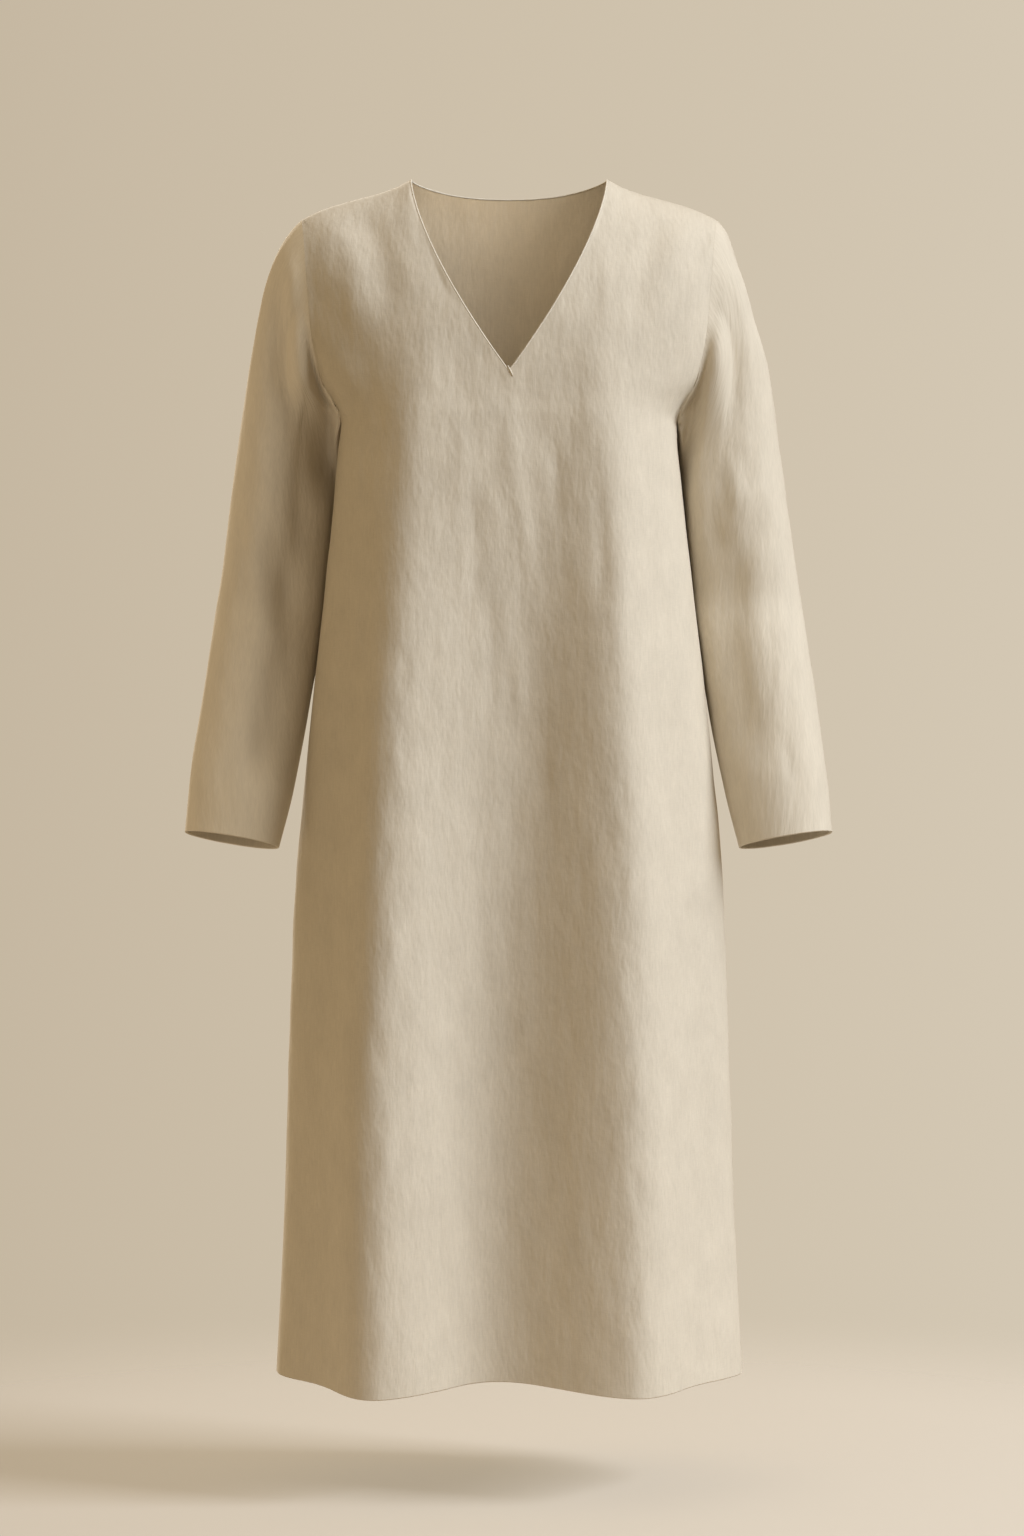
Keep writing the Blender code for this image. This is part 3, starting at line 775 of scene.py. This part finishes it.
def add_mesh(name, points, quads, corners_uv, material, rim=()):
    """Smooth mesh, with sharp edges along its rim: pairs of numbers of neighbouring points."""
    mesh = bpy.data.meshes.new(name)
    mesh.from_pydata(points.tolist(), [], quads.tolist())
    mesh.uv_layers.new(name="cloth").data.foreach_set("uv", corners_uv.ravel())
    rim = {tuple(sorted(pair)) for pair in rim}
    for edge in mesh.edges if rim else ():
        edge.use_edge_sharp = tuple(sorted(edge.vertices)) in rim
    mesh.materials.append(material)
    mesh.shade_smooth()
    return add_object(name, mesh)


def grid_quads(rows, columns, wrap):
    """Quads of a grid as point numbers, and as numbers in a grid one column wider if it
    wraps, so that its last quads don't turn back across the flat cloth."""
    i, j = (part.ravel() for part in np.meshgrid(np.arange(rows - 1), np.arange(columns - 1 + wrap)))

    def corners(wide, after):
        low, high = i * wide, (i + 1) * wide
        return np.stack([low + j, low + after, high + after, high + j], 1)

    return corners(columns, (j + 1) % columns), corners(columns + wrap, j + 1)


def shell(name, outer, thickness, flat, material, rounded, flip, wrap=False):
    """Closed thin shell whose outer skin is a grid of points. flat holds the grid's places on
    the flat cloth, and rounded says how round its edges are, from 0 to 1."""
    rows, columns = outer.shape[:2]
    count = rows * columns
    normals = grid_normals(outer, wrap) * (-1 if flip else 1)
    inner = outer - thickness[..., None] * normals
    middle = (outer + inner) / 2
    quads, flat_quads = grid_quads(rows, columns, wrap)
    bottom, top = np.arange(columns), np.arange(columns) + (rows - 1) * columns
    if wrap:
        loops = [np.append(bottom, bottom[0]), np.append(top, top[0])[::-1]]
        flat_bottom = np.arange(columns + 1)
        flat_loops = [flat_bottom, (flat_bottom + (rows - 1) * (columns + 1))[::-1]]
        ends = (outer[0] - outer[1], outer[-1] - outer[-2])
        low_end, high_end = (np.append(end, end[:1], axis=0) for end in ends)
        outwards = [low_end, high_end[::-1]]
    else:
        left = np.arange(rows) * columns
        right = left + columns - 1
        loop = np.concatenate([bottom, right[1:], top[::-1][1:], left[::-1][1:]])
        loops = flat_loops = [loop]
        away = np.zeros_like(outer)
        for edge, next_in in ((0, 1), (-1, -2)):
            away[edge] += outer[edge] - outer[next_in]
            away[:, edge] += outer[:, edge] - outer[:, next_in]
        outwards = [away.reshape(-1, 3)[loop]]
    points = [outer.reshape(-1, 3), inner.reshape(-1, 3)]
    faces, uvs = [quads, quads[:, ::-1] + count], [flat_quads, flat_quads[:, ::-1]]
    start = 2 * count
    rim = []
    for loop, flat_loop, outward in zip(loops, flat_loops, outwards):
        reach = (thickness * rounded).reshape(-1)[loop]
        bulge = unit(outward) * reach[:, None] / 2
        ring = middle.reshape(-1, 3)[loop] + bulge
        points.append(ring[:-1])
        mid = start + np.append(np.arange(len(loop) - 1), 0)
        for first, second in ((loop, mid), (mid, loop + count)):
            faces.append(np.stack([first[1:], first[:-1], second[:-1], second[1:]], 1))
            uvs.append(np.stack([flat_loop[1:], flat_loop[:-1], flat_loop[:-1], flat_loop[1:]], 1))
        pairs = np.stack([loop[1:], loop[:-1]], 1)
        rim += [*pairs.tolist(), *(pairs + count).tolist()]
        start += len(loop) - 1
    faces = np.concatenate(faces)
    uvs = flat.reshape(-1, 2)[np.concatenate(uvs)]
    if flip:
        faces, uvs = faces[:, ::-1], uvs[:, ::-1]
    return add_mesh(name, np.concatenate(points), faces, uvs, material, rim)


def arc_length(place):
    """Length of the way that place(share) goes as share runs from 0 to 1."""
    last = place(0.0)
    total = np.zeros(last.shape[:-1])
    for k in range(1, ARC_STEPS + 1):
        now = place(k / ARC_STEPS)
        total += np.linalg.norm(now - last, axis=-1)
        last = now
    return total


def build_panel(name, side, creases, material):
    """Front or back of the dress, in one piece from shoulders to hem."""
    angle, run = panel_grid(side)
    base = sheet_point(angle, run, side)
    normal = sheet_normal(angle, run, side)
    hem_run = run_of_drop(LENGTH)
    u = arc_length(lambda share: sheet_point(angle * share, run, side)) * np.sign(angle)
    v = arc_length(lambda share: sheet_point(angle, blend(hem_run, run, share), side))
    side_edge = np.abs(u[:, :1])
    fade = ease((v[-1:] - v) / EDGE_FADE) * ease((side_edge - np.abs(u)) / SIDE_FADE)
    relief = crease_relief(creases, base[..., 0], base[..., 2]) + crinkle(u, v)
    outer = base + (relief * fade)[..., None] * normal
    if side == FRONT:
        outer[..., 1] -= armhole_relief(base)
    thickness = LAYER + TURNED * ease((HEM_TURN - v) / TURN_STEP + 1)
    flat = np.stack([u, v], axis=-1)
    rounded = np.zeros_like(u)
    rounded[0] = 1.0
    middle = len(u[0]) // 2
    rounded[-1, middle - NECK_COLUMNS + 1 : middle + NECK_COLUMNS] = 1.0
    return shell(name, outer, thickness, flat, material, rounded, flip=side == BACK)


def armhole_loop(half):
    """Points of the armhole seam and the cloth's normals there, from the tip down the front
    and up the back, on the wearer's left."""
    seam = armhole(np.arange(half + 1) / half)
    loops = []
    for of_sheet in (sheet_point, sheet_normal):
        front = of_sheet(*seam, FRONT)
        front[[0, -1], 1] = 0.0
        loops.append(np.concatenate([front, of_sheet(*seam, BACK)[-2:0:-1]]))
    return loops[0], unit(loops[1])


def leaving(turn, seam, normals):
    """Way, and strength, in which the sleeve leaves the armhole round its loop."""
    up, forward = np.cos(turn), np.sin(turn)
    weights = (
        (LEAVE_TOP, np.maximum(up, 0) ** 2),
        (LEAVE_UNDER, np.maximum(-up, 0) ** 2),
        (LEAVE_FRONT, np.maximum(forward, 0) ** 2),
        (LEAVE_BACK, np.maximum(-forward, 0) ** 2),
    )
    way = sum(w[:, None] * np.array([[at.out, -at.forward, -at.down]]) for at, w in weights)
    way = unit(way)
    pull = sum(w * at.pull for at, w in weights)
    along = unit(np.roll(seam, -1, axis=0) - np.roll(seam, 1, axis=0))
    onward = unit(np.cross(normals, along))
    onward = onward * np.sign(np.sum(onward * way, axis=1, keepdims=True))
    over_top = ease((up - CAP_FLOW_TOP_START) / (1 - CAP_FLOW_TOP_START))
    flow = ease((up - CAP_FLOW_START) / CAP_FLOW_GROWTH) - (1 - CAP_FLOW_TOP) * over_top
    return unit(blend(way, onward, flow[:, None])), pull


def tube_ring(drop, turn):
    """Ring of points round the sleeve at a drop, square to the arm's line."""
    def centre(at):
        return np.stack(
            [column(SLEEVE_RINGS, "out", at), -column(SLEEVE_RINGS, "forward", at), -at]
        )

    along = unit(centre(min(drop + SLEEVE_STEP, SLEEVE_END)) - centre(drop - SLEEVE_STEP))
    outward = np.array([1.0, 0.0, 0.0])
    outward = unit(outward - along * (outward @ along))
    forward = np.cross(along, outward)
    half_width = column(SLEEVE_RINGS, "half_width", drop)
    half_depth = column(SLEEVE_RINGS, "half_depth", drop)
    up, front = np.cos(turn)[:, None], np.sin(turn)[:, None]
    crease = ELBOW_DEPTH * np.exp(-(((drop - ELBOW_DROP) / ELBOW_HEIGHT) ** 2))
    shrink = 1 - crease / half_depth * np.clip(front, 0.0, None) ** 2
    return centre(drop) + shrink * (half_width * up * outward + half_depth * front * forward)


def sleeve_rows(half):
    """Outer points of the wearer's left sleeve: rings from armhole to cuff."""
    seam, normals = armhole_loop(half)
    turn = 2 * pi * np.arange(len(seam)) / len(seam)
    way, pull = leaving(turn, seam, normals)
    first = SLEEVE_RINGS[0].drop
    end = tube_ring(first, turn)
    end_way = unit(tube_ring(first + SLEEVE_STEP, turn) - end)
    under = np.maximum(-np.cos(turn), 0)[:, None] ** 2
    arrival = blend(CAP_ARRIVAL, CAP_ARRIVAL_UNDER, under)
    start = seam + SEAM_GAP * way
    rows = []
    for t in np.linspace(0.0, 1.0, CAP_ROWS + 1)[:-1]:
        rows.append(glide(start, way * pull[:, None], end, end_way * arrival, t))
    for drop in np.linspace(first, SLEEVE_END, TUBE_ROWS + 1):
        rows.append(tube_ring(drop, turn))
    return np.array(rows), turn


def build_sleeve(name, mirror, front_creases, material):
    """Long sleeve, from its cap at the armhole to the open cuff. Its columns start under the
    arm, where its own seam is."""
    base, turn = sleeve_rows(SLEEVE_HALF_COLUMNS)
    base = np.roll(base, SLEEVE_HALF_COLUMNS, axis=1)
    turn = np.roll(turn, SLEEVE_HALF_COLUMNS)
    normal = grid_normals(base, wrap=True)
    if mirror:
        base = base * (-1, 1, 1)
        normal = normal * (-1, 1, 1)
    steps = np.linalg.norm(np.diff(base, axis=0), axis=-1)
    v = np.concatenate([np.zeros((1, len(turn))), np.cumsum(steps, axis=0)])
    closed = np.concatenate([base, base[:, :1]], axis=1)
    across = np.linalg.norm(np.diff(closed, axis=1), axis=-1)
    u = np.concatenate([np.zeros((len(base), 1)), np.cumsum(across, axis=1)], axis=1)
    x, z = base[..., 0], base[..., 2]
    forward = np.sin(turn)[None, :]
    back_creases = [
        crease._replace(x_from=-crease.x_from, x_to=-crease.x_to) if mirror else crease
        for crease in SLEEVE_BACK
    ]
    relief = crease_relief(front_creases, x, z) * ease(forward / FACING_FADE)
    relief += crease_relief(back_creases, x, z) * ease(-forward / FACING_FADE)
    around = turn / (2 * pi) * SLEEVE_ROUND + np.full_like(v, MIRRORED_SHIFT if mirror else 0.0)
    relief += crinkle(around, v, SLEEVE_ROUND)
    towards_body = np.clip(-np.cos(turn), 0, 1)[None, :] ** 2
    fade = ease(v / EDGE_FADE) * (1 - towards_body * (1 - BESIDE_BODY))
    tucks = RIGHT_SLEEVE_TUCKS if mirror else LEFT_SLEEVE_TUCKS
    relief = relief * fade + tuck_relief(tucks, turn, z) * ease(v / TUCK_START)
    outer = base + relief[..., None] * normal
    rolls = RIGHT_SLEEVE_ROLLS if mirror else LEFT_SLEEVE_ROLLS
    forwards = armhole_relief(base) + crease_relief(rolls, x, z) * ease(v / ROLL_START)
    outer[..., 1] -= forwards * ease((forward - ROLL_EDGE) / ROLL_GROWTH)
    to_cuff = v[-1:] - v
    outer[..., 2] -= CUFF_TILT * forward * ease(1 - to_cuff / CUFF_TILT_START)
    thickness = LAYER + TURNED * ease((CUFF_TURN - to_cuff) / TURN_STEP + 1)
    flat_v = np.concatenate([v, v[:, :1]], axis=1)
    flat = np.stack([u - u[:, -1:] / 2, flat_v.max() - flat_v], axis=-1)
    rounded = np.zeros_like(v)
    rounded[-1] = 1.0
    return shell(name, outer, thickness, flat, material, rounded, flip=mirror, wrap=True)


def binding_line(side):
    """Middle line of the neck binding from the middle out to the shoulder ridge, with its
    directions along the edge, away from the hole and out of the cloth."""
    shares = np.arange(BINDING_ROWS + 1) / BINDING_ROWS
    edge = neckline(shares, side, BINDING_WIDTH / 2)
    line, normal = sheet_point(*edge, side), sheet_normal(*edge, side)
    along = unit(np.gradient(line, axis=0))
    along[-1] = (0.0, -side, 0.0)
    away = unit(np.cross(normal, along)) * side
    return line - normal * LAYER / 2, along, away, normal


def rings(line, away, normal, width, height):
    """Rings of points round a line, this wide and high."""
    turns = 2 * pi * np.arange(BINDING_SIDES) / BINDING_SIDES
    across = np.cos(turns)[None, :, None] * away[:, None, :] * width / 2
    through = np.sin(turns)[None, :, None] * normal[:, None, :] * height / 2
    return line[:, None, :] + across + through


def binding_half(side):
    """Sections of the roll from the middle to the shoulder ridge, on the wearer's left."""
    line, along, away, normal = binding_line(side)
    rows = rings(line, away, normal, BINDING_WIDTH, BINDING_THICKNESS)
    rows[0] -= (rows[0][:, :1] / along[0][0]) * along[0]
    rows[-1][:, 1] = 0.0
    return rows


def lapped_end():
    """Sections of the binding's end, which laps over the panel at the point of the V."""
    shares = np.linspace(0.0, 1.0, LAP_ROWS)
    x, z = (blend(start, end, shares) for start, end in zip(LAP_FROM, LAP_TO))
    drop = drop_at_height(np.abs(x), z)
    place = angle_at(x, drop), run_of_drop(drop)
    normal = sheet_normal(*place, FRONT)
    line = sheet_point(*place, FRONT) + normal * LAP_HEIGHT
    away = unit(np.cross(normal, unit(np.gradient(line, axis=0))))
    swell = np.sqrt(np.sin(pi * (LAP_BLUNT + (1 - 2 * LAP_BLUNT) * shares)))[:, None]
    return rings(line, away * swell, normal * swell, BINDING_WIDTH, BINDING_WIDTH)


def build_binding(name, material):
    """Binding round the whole neck: down the V, up to the shoulders and round the back."""
    front, back = binding_half(FRONT), binding_half(BACK)
    left = np.concatenate([front, back[-2::-1]])
    right = left[-2:0:-1] * (-1, 1, 1)
    rows = np.concatenate([left, right])
    count, sides = rows.shape[:2]
    girth = pi * BINDING_WIDTH
    closed = np.concatenate([rows, rows[:1]])
    steps = np.linalg.norm(np.diff(closed.mean(axis=1), axis=0), axis=-1)
    along = np.concatenate([[0.0], np.cumsum(steps)])
    quads, flat = (part[:, [0, 3, 2, 1]] for part in grid_quads(count + 1, sides, True))
    uv = np.stack([flat % (sides + 1) / sides * girth, along[flat // (sides + 1)]], -1)
    lap = lapped_end()
    k = np.arange(sides // 2 - 1)
    cap = np.stack([k, sides - 1 - k, sides - 2 - k, k + 1], 1)
    lap_sides = grid_quads(len(lap), sides, True)[0]
    lap_quads = np.concatenate([lap_sides, cap, cap[:, ::-1] + (len(lap) - 1) * sides])
    lap_uv = np.stack([lap_quads % sides, lap_quads // sides], -1) * (girth / sides)
    points = np.concatenate([rows.reshape(-1, 3), lap.reshape(-1, 3)])
    quads = np.concatenate([quads % (count * sides), lap_quads + count * sides])
    return add_mesh(name, points, quads, np.concatenate([uv, lap_uv]), material)


# Materials


class Nodes:
    """Short ways to add shader nodes to a material or the world."""

    def __init__(self, owner):
        owner.use_nodes = True
        self.tree = owner.node_tree

    def link(self, value, name, slot):
        """Leads a value into a slot of the node with this name."""
        self.tree.links.new(value, self.tree.nodes[name].inputs[slot])

    def add(self, kind, inputs=(), **settings):
        node = self.tree.nodes.new(kind)
        for name, value in settings.items():
            setattr(node, name, value)
        for name, value in dict(inputs).items():
            if isinstance(value, bpy.types.NodeSocket):
                self.tree.links.new(value, node.inputs[name])
            else:
                node.inputs[name].default_value = value
        return node

    def product(self, first, second):
        return self.add("ShaderNodeMath", {0: first, 1: second}, operation="MULTIPLY").outputs[0]

    def ranged(self, value, old, new, interpolation="LINEAR"):
        """Value carried from an old range to a new one, and held at its ends."""
        ends = zip(("From Min", "From Max", "To Min", "To Max"), (*old, *new))
        inputs = {"Value": value, **dict(ends)}
        return self.add("ShaderNodeMapRange", inputs, interpolation_type=interpolation).outputs[0]

    def grains(self, flat, texture):
        """Noise in grains of a texture's size on the flat cloth."""
        scale = (1 / texture.wide, 1 / texture.long, 1)
        scaled = self.add("ShaderNodeMapping", {"Vector": flat, "Scale": scale}).outputs[0]
        inputs = {"Vector": scaled, "Scale": 1.0, "Detail": texture.detail}
        return self.add("ShaderNodeTexNoise", inputs).outputs["Fac"]

    def mix_in_shares(self, parts):
        """Sum of values, each times its share."""
        total = 0.0
        for value, share in parts:
            inputs = {0: value, 1: share, 2: total}
            total = self.add("ShaderNodeMath", inputs, operation="MULTIPLY_ADD").outputs[0]
        return total

    def bands(self, flat, way):
        """Threads side by side along one way of the flat cloth."""
        inputs = {"Vector": flat, "Scale": WAVE_PER_METRE / THREAD_PITCH, "Distortion": 1.0}
        return self.add("ShaderNodeTexWave", inputs, bands_direction=way).outputs["Fac"]


def linen_material(name, colour):
    """Plain-woven linen: slubs in warp and weft, small soft dents, a fine weave and a nap."""
    material = bpy.data.materials.new(name)
    nodes = Nodes(material)
    flat = nodes.add("ShaderNodeUVMap", uv_map="cloth").outputs[0]
    grains = [(nodes.grains(flat, texture), texture) for texture in TEXTURES]
    tone = nodes.mix_in_shares([(grain, kind.tone) for grain, kind in grains if kind.tone])
    ramp = nodes.add("ShaderNodeValToRGB", {"Fac": tone})
    for stop, shade in zip(ramp.color_ramp.elements, SHADES):
        stop.position = shade.tone
        stop.color = (*(part * shade.strength for part in colour), 1.0)
    nodes.link(ramp.outputs["Color"], SHADER, "Base Color")
    weave = nodes.product(nodes.bands(flat, "X"), nodes.bands(flat, "Y"))
    parts = [(grain, kind.relief) for grain, kind in grains if kind.relief]
    height = nodes.mix_in_shares([*parts, (weave, WEAVE_RELIEF)])
    bump = nodes.add("ShaderNodeBump", {"Height": height, "Strength": 1.0, "Distance": BUMP_DISTANCE})
    nodes.link(bump.outputs[0], SHADER, "Normal")
    for slot, value in FINISH.items():
        nodes.tree.nodes[SHADER].inputs[slot].default_value = value
    return material


# Stage, lights and camera


def add_lamp(kind, pieces):
    """Lamp that lights these pieces alone. The others still throw shadows in its light."""
    if isinstance(kind, FarLamp):
        turn = np.radians(kind.azimuth)
        place = (FAR_AWAY * np.sin(turn), -FAR_AWAY * np.cos(turn), kind.height)
        kind = Lamp(kind.name, place, FAR_TARGET, FAR_SIZE, kind.power, kind.colour)
    light = bpy.data.lights.new(kind.name, "AREA")
    light.size = kind.size
    light.energy = kind.power
    light.color = kind.colour
    lamp = add_object(kind.name, light)
    lamp.location = kind.place
    ahead = Vector(kind.target) - Vector(kind.place)
    lamp.rotation_euler = ahead.to_track_quat("-Z", "Y").to_euler()
    lit = bpy.data.collections.new(kind.name)
    for piece in pieces:
        lit.objects.link(piece)
    lamp.light_linking.receiver_collection = lit
    return lamp


def add_lamps(front, back, left, right, neck, floor):
    body = (front, back, neck, left)
    add_lamp(KEY, body)
    add_lamp(RIGHT_SLEEVE_KEY, (right,))
    add_lamp(GLOW, (*body, floor))
    add_lamp(RIGHT_SLEEVE_GLOW, (right,))
    add_lamp(CUFF_FILL, (left, right))
    add_lamp(FLOOR_KEY, (floor,))
    add_lamp(RIM, (*body, right))
    add_lamp(NECK_FILL, (back,)).visible_camera = False


def add_floor():
    """Pale round floor below the hem, which fades out at its rim."""
    mesh = bpy.data.meshes.new("floor")
    turns = [2 * pi * k / FLOOR_SIDES for k in range(FLOOR_SIDES)]
    rim = [(FLOOR_RADIUS * np.cos(t), FLOOR_RADIUS * np.sin(t), FLOOR_HEIGHT) for t in turns]
    mesh.from_pydata(rim, [], [tuple(range(FLOOR_SIDES))])
    floor = add_object("floor", mesh)
    material = bpy.data.materials.new("floor")
    nodes = Nodes(material)
    place = nodes.add("ShaderNodeTexCoord").outputs["Object"]
    level = nodes.add("ShaderNodeVectorMath", {0: place, 1: (1, 1, 0)}, operation="MULTIPLY")
    away = nodes.add("ShaderNodeVectorMath", {0: level.outputs[0]}, operation="LENGTH")
    fade = nodes.ranged(away.outputs["Value"], FLOOR_FADE, (FLOOR_OPACITY, 0.0), "SMOOTHSTEP")
    nodes.link(fade, SHADER, "Alpha")
    paint = nodes.tree.nodes[SHADER].inputs
    paint["Base Color"].default_value = (*FLOOR_COLOUR, 1.0)
    paint["Roughness"].default_value = FINISH["Roughness"]
    mesh.materials.append(material)
    return floor


def set_world():
    """Backdrop, with painted shade darker on the wearer's right, and the light from all round, with
    its own strengths from side to side.
    """
    world = bpy.data.worlds.new("studio")
    bpy.context.scene.world = world
    nodes = Nodes(world)
    way = nodes.add("ShaderNodeTexCoord").outputs["Generated"]
    parts = nodes.add("ShaderNodeSeparateXYZ", {0: way}).outputs
    # Painted shade: the backdrop's colour darkens towards the wearer's right, away from the key lamp
    ramp = nodes.add("ShaderNodeValToRGB", {"Fac": nodes.ranged(parts["X"], (-1, 1), (0, 1))})
    ramp.color_ramp.interpolation = "B_SPLINE"
    elements = ramp.color_ramp.elements
    while len(elements) < len(BACKDROP_WITH_PAINTED_SHADE):
        elements.new(0.5)
    for element, stop in zip(elements, BACKDROP_WITH_PAINTED_SHADE):
        element.position = stop.place
        element.color = (*stop.colour, 1.0)
    seen = nodes.add("ShaderNodeLightPath").outputs["Is Camera Ray"]
    nodes.link(ramp.outputs["Color"], "Background", "Color")
    across = nodes.ranged(parts["X"], (-1, 1), AMBIENT_RIGHT_TO_LEFT)
    from_side = nodes.ranged(parts["Y"], (-1, BESIDE), AMBIENT_FRONT_TO_BESIDE, "SMOOTHSTEP")
    strength = nodes.product(across, from_side)
    glow = nodes.add("ShaderNodeBackground", {"Color": (*AMBIENT, 1.0), "Strength": strength})
    backdrop = nodes.tree.nodes["Background"]
    both = nodes.add("ShaderNodeMixShader", {0: seen, 1: glow.outputs[0], 2: backdrop.outputs[0]})
    nodes.link(both.outputs[0], "World Output", "Surface")


def add_camera():
    data = bpy.data.cameras.new("camera")
    data.lens = CAMERA_LENS
    camera = add_object("camera", data)
    camera.location = CAMERA_PLACE
    camera.rotation_euler = (pi / 2, 0.0, 0.0)
    bpy.context.scene.camera = camera


def build_dress():
    linen = linen_material("linen", LINEN)
    # Its lighter linen is a painted highlight along the neck edge
    binding = linen_material("linen_binding", LINEN_BINDING_PAINTED_LIGHTER)
    front = build_panel("front", FRONT, FRONT_CREASES, linen)
    back = build_panel("back", BACK, BACK_CREASES, linen)
    left = build_sleeve("sleeve_left", False, LEFT_SLEEVE_FRONT, linen)
    right = build_sleeve("sleeve_right", True, RIGHT_SLEEVE_FRONT, linen)
    neck = build_binding("neck_edge", binding)
    for piece, node, slot in (
        (front, "front_panel", "linen"),
        (back, "back_panel", "linen"),
        (left, "left_sleeve", "linen"),
        (right, "right_sleeve", "linen"),
        (neck, "neck_binding", "linen_binding"),
    ):
        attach(piece, "root")
        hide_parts(node)
    return front, back, left, right, neck


pieces = build_dress()
floor_piece = add_floor()
set_world()
add_lamps(*pieces, floor_piece)
add_camera()
bpy.context.scene.view_settings.view_transform = "Standard"
